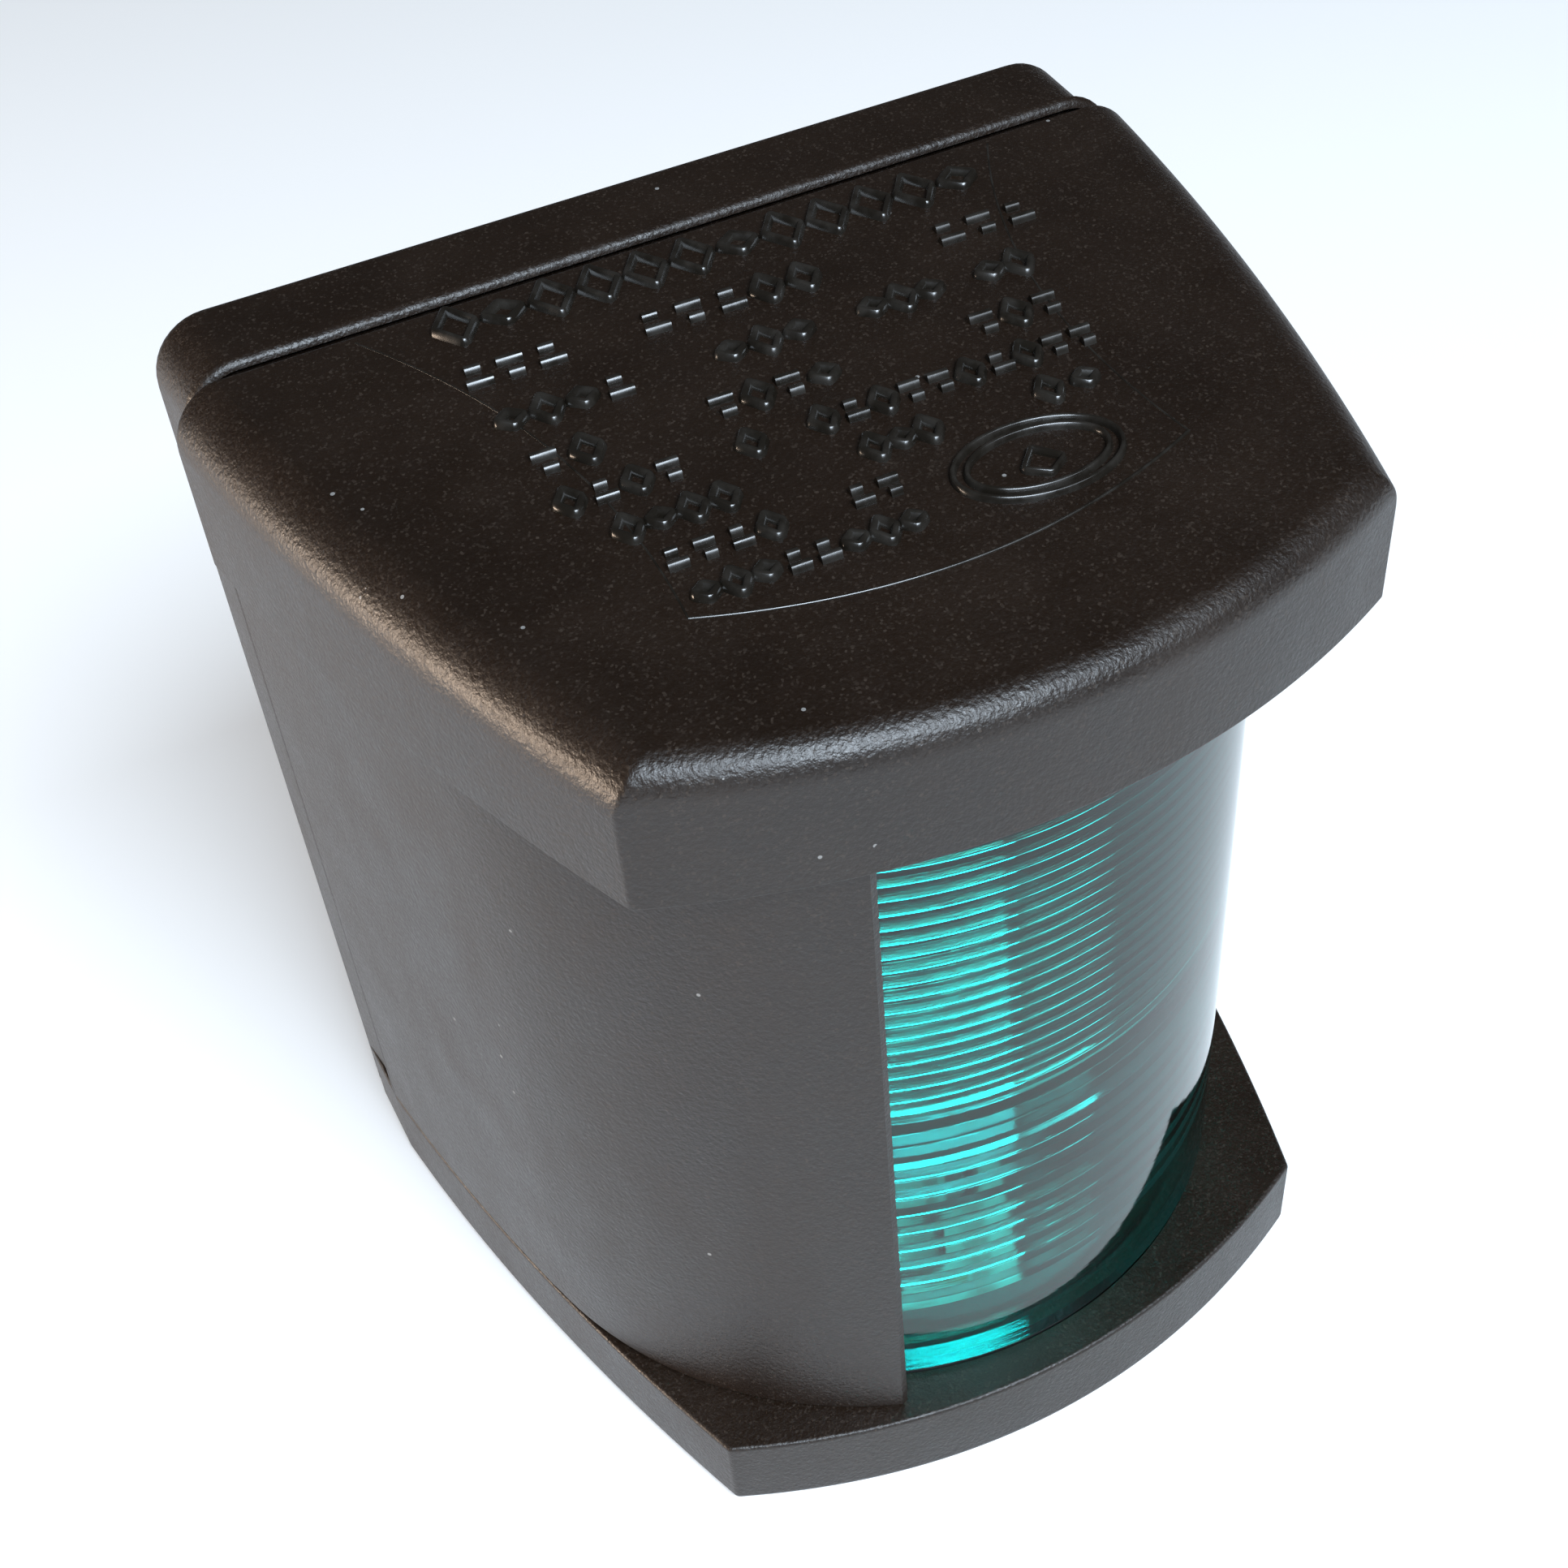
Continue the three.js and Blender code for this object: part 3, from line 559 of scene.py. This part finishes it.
def make_base():
    front = [(drop(0.6, d), PLATE_FACE + d) for d in reversed(quarter_levels(0.6, 4))]
    back = [(drop(1.4, d), -d) for d in quarter_levels(1.4, 5)]
    plate = stack("base_body", upright(BASE_HALF, 1, BASE_HEIGHT, PLATE_CORNER, 1.5), front[::-1] + back, "y")
    heights = quarter_levels(0.9, 5)[::-1]
    heights += [FLANGE_THICK - d for d in quarter_levels(0.3, 3)]
    flange = loft("flange", [flange_ring(z) for z in heights])
    seats = [
        turned("seat", [(0, -7), (5, -7), (5, -8.9), (4.7, -9.2), (0, -9.2)], (side * MOUNT_X, MOUNT_Z), "y")
        for side in (-1, 1)
    ]
    ledge = block("ledge", (-9, 9), (-11.5, -7), (6, 9.4), 0.4)
    combine(plate, "UNION", flange, rail(-1), rail(1), ledge, *seats)
    recess = slab("recess", upright(30.3, 2.7, 70.9, 2, 2), -1.2, 1, axis="y")
    holes = [round_bar("hole", (side * MOUNT_X, MOUNT_Z), 2.3, -12, 1, "y") for side in (-1, 1)]
    holes.append(round_bar("hole", CABLE, 4.2, -12, 1, "y"))
    pilots = [(side * HOLDER_SCREW_X, BULB_Z) for side in (-1, 1)]
    holes += [round_bar("pilot", place, PILOT_RADIUS, -20, -2.4, "y") for place in pilots]
    sink = [(0, -1), (4.7, -1), (4.7, 0), (4.3, 0.5), (4.3, 3.9), (0, 3.9)]
    holes.append(turned("counterbore", sink, COVER_SCREW))
    holes.append(round_bar("screw_hole", COVER_SCREW, 2.4, 3, 8))
    holes.append(round_bar("drain", (9, -43), 1.2, -1, 8))
    groove = lens_band(25, 26.5, 0.3, 5.8, 8)
    seal = slab("seal_outside", upright(32.3, -1, 70.8, 2.6, 1), -9.2, -7, axis="y")
    seal_inside = slab("seal_inside", upright(30.1, -11, 68.6, 1.4, 1), -10, -6, axis="y")
    below = block("below", (-40, 40), (-12, -5), (-20, 8.7))
    combine(seal, "DIFFERENCE", seal_inside, below)
    combine(plate, "DIFFERENCE", recess, *holes, groove, seal)
    return finished(plate, "base", "black_moulding", "base_housing")


# ---- Cover ----


def side_radius(t):
    """Radius of the cap's rounding along a side, t running from its back to its front."""
    return SIDE_RADIUS_BACK + (SIDE_RADIUS_FRONT - SIDE_RADIUS_BACK) * t * t


def cap_ring(height):
    """The cap's outline at this height, measured as if its top did not fall."""
    below = CAP_TOP - height
    foot = drop(UNDERSIDE_RADIUS, height - CAP_UNDERSIDE)
    points = [
        (CAP_HALF_BACK, COVER_BACK),
        (-CAP_HALF_BACK, COVER_BACK),
        (-CAP_HALF_FRONT, CAP_CORNER_Y),
        (CAP_HALF_FRONT, CAP_CORNER_Y),
    ]
    depths = [
        lambda t: max(foot, drop(BACK_EDGE_RADIUS, below)),
        lambda t: max(foot, drop(side_radius(t), below)),
        lambda t: max(foot, drop(FRONT_RADIUS, below)),
        lambda t: max(foot, drop(side_radius(1 - t), below)),
    ]
    bows = [0, SIDE_BOW, FRONT_BOW, SIDE_BOW]
    sides = [(points[i], points[(i + 1) % 4], bows[i], depths[i]) for i in range(4)]
    ring = ring_of_sides(sides, [0.35, 0.6, 0.6, 0.35], [4, 26, 56, 26])
    # The fall is whole in the rounding and fades out from there down to the underside.
    share = (CAP_TOP - CAP_UNDERSIDE - below) / (CAP_TOP - CAP_UNDERSIDE - SIDE_RADIUS_BACK)
    if below < SIDE_RADIUS_BACK + 1e-6:
        share = 1
    return [(x, y, height + CAP_FALL * (y - COVER_BACK) * share) for x, y in ring]


def make_cap():
    below = quarter_levels(SIDE_RADIUS_BACK, 12) + quarter_levels(FRONT_RADIUS, 8)
    below = sorted(set(below + quarter_levels(BACK_EDGE_RADIUS, 3)), reverse=True)
    kept = [below[0]]
    for depth in below[1:]:
        if kept[-1] - depth > 0.012:
            kept.append(depth)
    kept[-1] = 0.0
    heights = [CAP_UNDERSIDE + d for d in quarter_levels(UNDERSIDE_RADIUS, 3)[::-1]]
    heights += [CAP_TOP - d for d in kept]
    return loft("cover_body", [cap_ring(h) for h in heights])


def make_screens():
    """The base's sides, closed in to a cylinder round the lens, up to the edges of the lit sector."""
    left_start, left_end = (-BASE_HALF, COVER_BACK), (-FRONT_HALF, CORNER_Y)
    left = [side_at(left_start, left_end, SIDE_BOW, t)[0] for t in np.linspace(0, 1, 41)]
    left = [tuple(p) for p in left if p[1] > LENS_Y - 6.5]
    start = math.pi + math.radians(13.6)
    edge = 2 * math.pi - SECTOR
    wrap = arc((0, LENS_Y), SCREEN_RADIUS, start, edge - 0.012, 60)
    corner = [(r * math.cos(edge), LENS_Y + r * math.sin(edge)) for r in (SCREEN_RADIUS - 0.3, 20)]
    right = [(-x, y) for x, y in left if y > LENS_Y + 0.4][::-1]
    edge_x = np.interp(-LENS_Y, [-p[1] for p in left], [-p[0] for p in left])
    front_right = [(20, LENS_Y), (edge_x - 0.35, LENS_Y), (edge_x, LENS_Y + 0.35)]
    outline = left + wrap + corner + [(0, LENS_Y)] + front_right + right
    foot = [(0.3, COVER_LOW), (0.08, COVER_LOW + 0.09), (0, COVER_LOW + 0.3)]
    return stack("screens", outline, foot + [(0, 61.7)])


def make_cavity(high):
    """The space inside the cover, up to this height."""
    rear = BASE_HALF - WALL
    outline = [(CAVITY_RADIUS, LENS_Y), (rear, COVER_BACK), (rear, 0), (-rear, 0), (-rear, COVER_BACK)]
    outline += arc((0, LENS_Y), CAVITY_RADIUS, math.pi, 2 * math.pi, 180)[:-1]
    return slab("cavity", outline, 0, high)


def lens_channel(edge, turn):
    """Upright channel that holds one edge of the lens; turn is the way round to its closed side."""

    def at(radius, degrees):
        angle = edge + turn * math.radians(degrees)
        return radius * math.cos(angle), LENS_Y + radius * math.sin(angle)

    stop, inside, lip = CAVITY_RADIUS + 1.8, LENS_CREST - 1.2, LENS_CREST - 0.3
    section = [at(stop, 0.8), at(stop, 3), at(inside, 3), at(inside, -2), at(lip, -2), at(lip, 0.8)]
    return slab("channel", section, COVER_LOW, CEILING + 0.5)


def make_cover():
    cover = combine(make_cap(), "UNION", make_screens())
    combine(cover, "DIFFERENCE", make_cavity(CEILING))
    high = CEILING + 0.5
    x, y = COVER_SCREW
    post = [(0, COVER_LOW), (4.3, COVER_LOW), (4.6, COVER_LOW + 0.3), (4.6, high), (0, high)]
    boss = turned("boss", post, (x, y))
    rib = block("rib", (x - 7, x), (y - 1.5, y + 1.5), (COVER_LOW, high))
    lip_sides = [sorted((side * 26.9, side * 31)) for side in (-1, 1)]
    lips = [block("lip", x_span, (-12, -9.6), (COVER_LOW, high), 0.2) for x_span in lip_sides]
    channels = [lens_channel(-SECTOR - LENS_TUCK, -1), lens_channel(LENS_TUCK, 1)]
    combine(cover, "UNION", boss, rib, *lips, *channels)
    insert_hole = turned("insert_hole", [(0, 0), (3.3, 0), (3.3, 14), (0, 14)], (x, y))
    combine(cover, "DIFFERENCE", insert_hole, round_bar("screw_room", (x, y), 2.4, 0, 24))
    return finished(cover, "cover", "black_moulding", "cover_shell")


# ---- Marks on the cover's top ----


def on_top(x, y, above):
    """A point this far above the cap's falling top."""
    return x, y, CAP_TOP + CAP_FALL * (y - COVER_BACK) + above


def raised_line(path, width, height, closed):
    """Points and faces of a low ridge with sloping sides along a path on the cap's top."""
    path = np.array(path, float)
    if closed:
        along = np.roll(path, -1, 0) - np.roll(path, 1, 0)
    else:
        along = np.gradient(path, axis=0)
    along /= np.linalg.norm(along, axis=1)[:, None]
    across = np.stack([along[:, 1], -along[:, 0]], 1)
    # Across in widths, up in heights; the foot goes a fixed way into the cap.
    foot = -0.12
    half = [(0.1, 1), (0.26, 0.85), (0.5, 0)]
    section = [(-0.5, foot)] + [(-s, height * h) for s, h in reversed(half)]
    section += [(s, height * h) for s, h in half] + [(0.5, foot)]
    points = [on_top(*(p + a * width * s), h) for p, a in zip(path, across) for s, h in section]
    size, count = len(section), len(path)
    faces = []
    for i in range(count if closed else count - 1):
        low, high = i * size, (i + 1) % count * size
        faces += [(low + k, low + (k + 1) % size, high + (k + 1) % size, high + k) for k in range(size)]
    if not closed:
        faces += [tuple(range(size)), tuple(range((count - 1) * size, count * size))]
    return points, faces


def ridges(name, paths, width, height, closed=True):
    points, faces = [], []
    for path in paths:
        more_points, more_faces = raised_line(path, width, height, closed)
        faces += [tuple(len(points) + i for i in face) for face in more_faces]
        points += more_points
    return piece_of(name, points, faces)


def finish_marks(name, paths, width, height, closed=True):
    marks = ridges(name, paths, width, height, closed)
    finished(marks, "cover", "black_moulding", degrees=50, finish="polished_moulding")


def mark_paths(kind, x, y, height):
    """Lozenges and dashes of one mark: a tall lozenge, two dashes of unlike length, or a flat lozenge."""
    half_w, half_h = 0.36 * height, 0.52 * height
    if kind in (1, 2):
        dashes = []
        for side in (-1, 1):
            reach = half_w * (0.85 if side * kind % 3 == 1 else 0.5)
            line_y = y + side * half_h * 0.5
            dashes.append([(x - reach, line_y), (x + reach, line_y)])
        return [], dashes
    if kind == 4:
        half_h *= 0.55
    return [[(x - half_w, y), (x, y - half_h), (x + half_w, y), (x, y + half_h)]], []


def make_marks():
    """Plain lozenges and dashes in rows, an oval and witness lines, where the real cover has markings."""
    tilt = Matrix.Rotation(math.radians(-2), 2)
    # Each row: its middle y, its height, and the spans of x that it fills.
    rows = [
        (-11.6, 3.6, [(-17.5, 20)]),
        (-17.0, 2.7, [(-17.7, -10.8), (-6.5, 6), (13.5, 21)]),
        (-21.9, 2.5, [(-17.3, -8.5), (-3.5, 3.2), (6, 11.8), (14, 18)]),
        (-26.5, 2.5, [(-17, -12.2), (-6, 2.5), (11, 17.4)]),
        (-30.4, 2.2, [(-17, -9), (-6.5, -3.6), (-1.5, 17.4)]),
        (-34.0, 2.2, [(-15, -7.4), (0, 5), (10.8, 15.6)]),
        (-37.4, 2.0, [(-13.8, -6.2), (-2.8, 1)]),
        (-40.6, 2.0, [(-13.3, 0.6)]),
    ]
    lozenges, dashes = [], []
    for row, (y, height, spans) in enumerate(rows):
        for start, end in spans:
            count = max(1, round((end - start) / (0.88 * height)))
            for i in range(count):
                x = start + (i + 0.5) * (end - start) / count
                more_lozenges, more_dashes = mark_paths((3 * i + 2 * row + i * i) % 5, x, y, height)
                lozenges += more_lozenges
                dashes += more_dashes

    def turn(path):
        return [tuple(tilt @ Vector(p)) for p in path]

    lozenges = [turn(rounded(path, 0.12, 2)) for path in lozenges]
    dashes = [turn([a, ((a[0] + b[0]) / 2, a[1]), b]) for a, b in dashes]
    finish_marks("cover_marks_lozenges", lozenges, 0.66, 0.45)
    finish_marks("cover_marks_bars", dashes, 0.68, 0.45, False)

    x, y = 8.3, -39.1
    turns = np.linspace(0, 2 * math.pi, 73)[:-1]
    ovals = [[(x + a * math.cos(t), y + b * math.sin(t)) for t in turns] for a, b in ((5.1, 3.1), (4.3, 2.4))]
    middle = rounded([(x - 1.3, y - 0.6), (x, y + 0.9), (x + 1.3, y - 0.6), (x, y - 1.5)], 0.15, 2)
    finish_marks("cover_marks_oval", [turn(path) for path in ovals + [middle]], 0.45, 0.38)

    ends = [((side * 22.1, -9.4), (side * 15.5, -41.4), side * 2.8) for side in (-1, 1)]
    sides = [[tuple(side_at(*end, t)[0]) for t in np.linspace(0, 1, 40)] for end in ends]
    front = [tuple(side_at((-15.5, -41.4), (15.5, -41.4), 3.3, t)[0]) for t in np.linspace(0, 1, 60)]
    finish_marks("cover_witness_sides", sides, 0.14, 0.035, False)
    finish_marks("cover_witness_front", [front], 0.2, 0.09, False)


# ---- Lens ----


def lens_profile():
    """Inside of the lens from its foot up: plain rim, coarse prisms, a plain belt, then finer prisms."""
    points = [(LENS_CREST, COVER_LOW), (LENS_CREST, 9.6), (LENS_ROOT, 9.9), (LENS_ROOT, 14.0)]

    def teeth(start, end, count, depth):
        pitch = (end - start) / count
        crest = LENS_ROOT - depth
        for i in range(count):
            z = start + i * pitch
            points.append((LENS_ROOT, z + 0.02))
            points.append((crest, z + 0.15 * pitch))
            points.append((crest + 0.02, z + 0.22 * pitch))

    teeth(14.0, 31.4, 9, 0.85)
    points.append((LENS_ROOT - 0.25, 33))
    points.append((LENS_ROOT, 34.6))
    teeth(34.6, 58.0, 20, 0.6)
    points += [(LENS_ROOT, 61.5), (LENS_CREST, 62), (LENS_CREST, LENS_TOP)]
    return points


def make_lens():
    outside = [(LENS_RADIUS - 0.25, LENS_TOP), (LENS_RADIUS, LENS_TOP - 0.25)]
    outside += [(LENS_RADIUS, COVER_LOW + 0.25), (LENS_RADIUS - 0.25, COVER_LOW)]
    section = lens_profile() + outside
    turns = np.linspace(-SECTOR - LENS_TUCK, LENS_TUCK, 151)
    rings = [[(r * math.cos(t), LENS_Y + r * math.sin(t), z) for r, z in section] for t in turns]
    lens = loft("lens_body", rings)
    return finished(lens, "cover", "green_lens", "lens", degrees=20)


# ---- Bulb, holder and fittings ----


def make_bulb():
    cup_floor, cup_rim = SHOULDER - 2.1, SHOULDER - 6.4
    make_bulb_glass(cup_floor - 0.3, cup_rim)
    cup = [
        (0, SHOULDER + 1.6), (1.4, SHOULDER + 1.6), (1.4, SHOULDER), (2.3, SHOULDER), (3.6, SHOULDER - 1.5),
        (3.6, cup_rim), (3.2, cup_rim), (3.2, cup_floor), (0, cup_floor),
    ]
    cup = rounded(cup, [0, 0.6, 0.3, 0.3, 0.5, 0.12, 0.12, 0.3, 0], 4, False)
    for end, name in ((1, "upper"), (-1, "lower")):
        profile = [(r, BULB_Z + end * z) for r, z in cup]
        body = turned(f"bulb_cap_{name}_body", profile, (0, LENS_Y), steps=72)
        finished(body, "bulb", "nickel", f"bulb_cap_{name}")
    make_filament(cup_floor - 0.3)


def make_bulb_glass(end, cup_rim):
    neck, shoulder = cup_rim - 0.6, cup_rim - 3.6
    outer = [(2.9, -end), (2.9, -neck), (5.5, -shoulder), (5.5, shoulder), (2.9, neck), (2.9, end)]
    inner = [(r - 0.7, z) for r, z in reversed(outer)]
    section = rounded(outer + inner, [0.3, 2, 3, 3, 2, 0.3, 0.3, 2, 3, 3, 2, 0.3], 7)
    section = [(r, z + BULB_Z) for r, z in section]
    glass = turned("bulb_glass_body", section + [section[0]], (0, LENS_Y), steps=72)
    finished(glass, "bulb", "clear_glass", "bulb_glass", degrees=60)


def make_filament(half):
    """Coiled wire on the bulb's axis: the coil tightens to a straight, thicker lead towards each cap."""
    radius, pitch = 0.9, 5 / 9
    coil_wire, lead_wire = 0.16, 0.25
    steps, sides = 720, 8
    around = np.linspace(0, 2 * math.pi, sides + 1)[:-1]
    rings = []
    for i in range(steps + 1):
        z = half * (2 * i / steps - 1)
        fade = min(1.0, max(0.0, (6.5 - abs(z)) / 1.5))
        fade = fade * fade * (3 - 2 * fade)
        turn = z / pitch * 2 * math.pi
        wire = coil_wire + (lead_wire - coil_wire) * (1 - fade)
        slope = radius * fade * 2 * math.pi / pitch
        normal = np.array([-math.sin(turn) * slope, math.cos(turn) * slope, 1.0])
        normal /= np.linalg.norm(normal)
        u = np.array([math.cos(turn), math.sin(turn), 0.0])
        u -= normal * (u @ normal)
        u /= np.linalg.norm(u)
        v = np.cross(normal, u)
        off = radius * fade
        centre = np.array([off * math.cos(turn), LENS_Y + off * math.sin(turn), BULB_Z + z])
        rings.append([tuple(centre + wire * (u * math.cos(a) + v * math.sin(a))) for a in around])
    finished(loft("bulb_filament_coil", rings), "bulb", "tungsten", "bulb_filament", degrees=60)


def slotted_screw(name, x, y, z, length, body, slot, node):
    """A small cheese-head screw lying along Y, its head's underside at y."""
    head, thick = 2.8, 1.7
    profile = [(0, y - thick), (head, y - thick), (head, y), (1.5, y), (1.5, y + length), (0, y + length)]
    profile = rounded(profile, [0, 0.45, 0.15, 0.1, 0.4, 0], 4, False)
    screw = turned(name, profile, (x, z), "y")
    slit = block("slit", (x - head - 1, x + head + 1), (y - thick - 1, y - thick + 0.7), (z - 0.4, z + 0.4))
    combine(screw, "DIFFERENCE", slit)
    return finished(screw, body, slot, node)


def make_holder():
    low, high = 9.7, 63
    back, face = COVER_BACK, -11.5
    outline = [
        (-12, back), (-12, face - 2), (-10.8, face - 2), (-10.8, face),
        (10.8, face), (10.8, face - 2), (12, face - 2), (12, back),
    ]
    outline = rounded(outline, [0.2, 0.35, 0.35, 0.4, 0.4, 0.35, 0.35, 0.2], 3)
    holder = slab("holder_body", outline, low, high, 0.25)
    levels = [BULB_Z - STRIP_SCREW, BULB_Z + STRIP_SCREW]
    pads = [block("pad", (-4, 4), (-15, -9), (z - 3.2, z + 3.2), 0.3) for z in levels]
    combine(holder, "UNION", *pads)
    holes = [round_bar("hole", (0, z), PILOT_RADIUS, -16, back - 1, "y") for z in levels]
    for x in (-HOLDER_SCREW_X, HOLDER_SCREW_X):
        holes.append(round_bar("hole", (x, BULB_Z), PILOT_RADIUS, -13, back + 1, "y"))
    combine(holder, "DIFFERENCE", *holes)
    finished(holder, "base", "pale_moulding", "bulb_holder")
    for side, name in ((-1, "left"), (1, "right")):
        node = f"holder_screw_{name}"
        slotted_screw(f"{node}_body", side * HOLDER_SCREW_X, face - 0.3, BULB_Z, 6, "base", "steel", node)


def make_strip(end, name):
    """A bent contact strip with a forked arm, above the bulb when end is 1 and below it when -1."""
    near, far = SHOULDER + 0.3, SHOULDER + 0.8
    back, front, tip, foot = -15.3, -15.8, LENS_Y - 3.4, STRIP_SCREW - 3.2
    section = [(back, foot), (back, far), (tip, far), (tip, near), (front, near), (front, foot)]
    section = rounded(section, [0.15, 1.1, 0.2, 0.2, 0.6, 0.15], 4)
    outline = [(y, BULB_Z + end * z) for y, z in section]
    if end > 0:
        outline = outline[::-1]
    strip = slab(f"contact_strip_{name}_body", outline, -3.5, 3.5, 0.06, axis="x")
    z0, z1 = sorted((BULB_Z + end * (near - 1), BULB_Z + end * (far + 1)))
    slot = block("slot", (-1.7, 1.7), (LENS_Y - 5, LENS_Y), (z0, z1))
    slot_end = round_bar("slot_end", (0, LENS_Y), 1.7, z0, z1)
    hole = round_bar("hole", (0, BULB_Z + end * STRIP_SCREW), PILOT_RADIUS, -18, -14, "y")
    combine(strip, "DIFFERENCE", slot, slot_end, hole)
    finished(strip, f"strip_{name}", "spring_bronze", f"contact_strip_{name}")


def make_cover_screw():
    low, under, tip = 0.5, 2.9, 13.0
    crest, root, pitch = 1.95, 1.62, 0.7
    x, y = COVER_SCREW
    head = [(0, low), (2.8, low), (3.6, low + 0.9), (3.6, under), (crest, under)]
    head = rounded(head, [0, 0.5, 0.3, 0.15, 0], 4, False)
    thread = [(crest, under + 0.8)]
    z = under + 0.8
    while z < tip - 1.3:
        thread += [(root, z + pitch / 2), (crest, z + pitch)]
        z += pitch
    profile = head + thread + [(crest, tip - 0.7), (1.3, tip), (0, tip)]
    screw = turned("cover_screw_body", profile, (x, y), steps=72)
    cross = [(1.9, 0.45), (0.45, 1.9)]
    arms = [block("arm", (x - a, x + a), (y - b, y + b), (low - 1, low + 1.3)) for a, b in cross]
    combine(screw, "DIFFERENCE", *arms)
    finished(screw, "screw", "steel", "cover_screw")


# ---- Assembly ----

make_base()
make_cover()
make_marks()
make_lens()
make_bulb()
make_holder()
for strip_end, strip_name in ((1, "upper"), (-1, "lower")):
    make_strip(strip_end, strip_name)
    screw_node = f"terminal_screw_{strip_name}"
    screw_z = BULB_Z + strip_end * STRIP_SCREW
    slotted_screw(f"{screw_node}_body", 0, -17.2, screw_z, 6, "base", "brass", screw_node)
make_cover_screw()


# ---- Floor, light and camera ----


def make_stage():
    mesh = bpy.data.meshes.new("floor")
    reach = 1.5
    corners = [(-reach, -reach), (reach, -reach), (reach, reach), (-reach, reach)]
    mesh.from_pydata([(x, y, -MID_Z * MM) for x, y in corners], [], [(0, 1, 2, 3)])
    floor = bpy.data.objects.new("floor", mesh)
    bpy.context.scene.collection.objects.link(floor)
    n = Nodes("floor")
    n.shader.inputs["Emission Strength"].default_value = 0.15
    n.shader.inputs["Emission Color"].default_value = (1.0, 0.96, 0.92, 1)
    mesh.materials.append(n.finish((0.9, 0.9, 0.9), 0.9))


def area_light(name, place, target, size, watts, colour):
    light = bpy.data.lights.new(name, "AREA")
    light.shape = "RECTANGLE"
    light.size, light.size_y = size
    light.energy = watts
    light.color = colour
    lamp = bpy.data.objects.new(name, light)
    lamp.location = place
    lamp.rotation_euler = (Vector(target) - Vector(place)).to_track_quat("-Z", "Y").to_euler()
    bpy.context.scene.collection.objects.link(lamp)


def make_lights():
    """A cool window in front and above, its dim edge on the bow side, and warm light from the left."""
    area_light("window", (-0.01, -0.6, 0.62), (0, -0.03, 0.03), (0.5, 0.3), 13, (0.76, 0.88, 1.0))
    area_light("window_side", (0.37, -0.5, 0.54), (0, -0.03, 0.03), (0.26, 0.2), 0.8, (0.8, 0.9, 1.0))
    area_light("warm_side", (-0.5, 0.12, 0.02), (0, -0.03, 0), (0.2, 0.14), 2.5, (1.0, 0.78, 0.6))
    world = bpy.data.worlds.new("studio")
    world.use_nodes = True
    background = world.node_tree.nodes["Background"]
    background.inputs["Color"].default_value = (0.93, 0.95, 1.0, 1)
    background.inputs["Strength"].default_value = 0.06
    bpy.context.scene.world = world


def make_camera():
    camera = bpy.data.cameras.new("camera")
    camera.sensor_width = 36
    camera.lens = 47.83
    camera.clip_start = 0.01
    eye = bpy.data.objects.new("camera", camera)
    eye.location = (-0.04573, -0.12034, 0.09969)
    eye.rotation_euler = [math.radians(a) for a in (47.134, 4.126, -27.518)]
    bpy.context.scene.collection.objects.link(eye)
    bpy.context.scene.camera = eye


make_stage()
make_lights()
make_camera()
bpy.context.scene.view_settings.view_transform = "Standard"
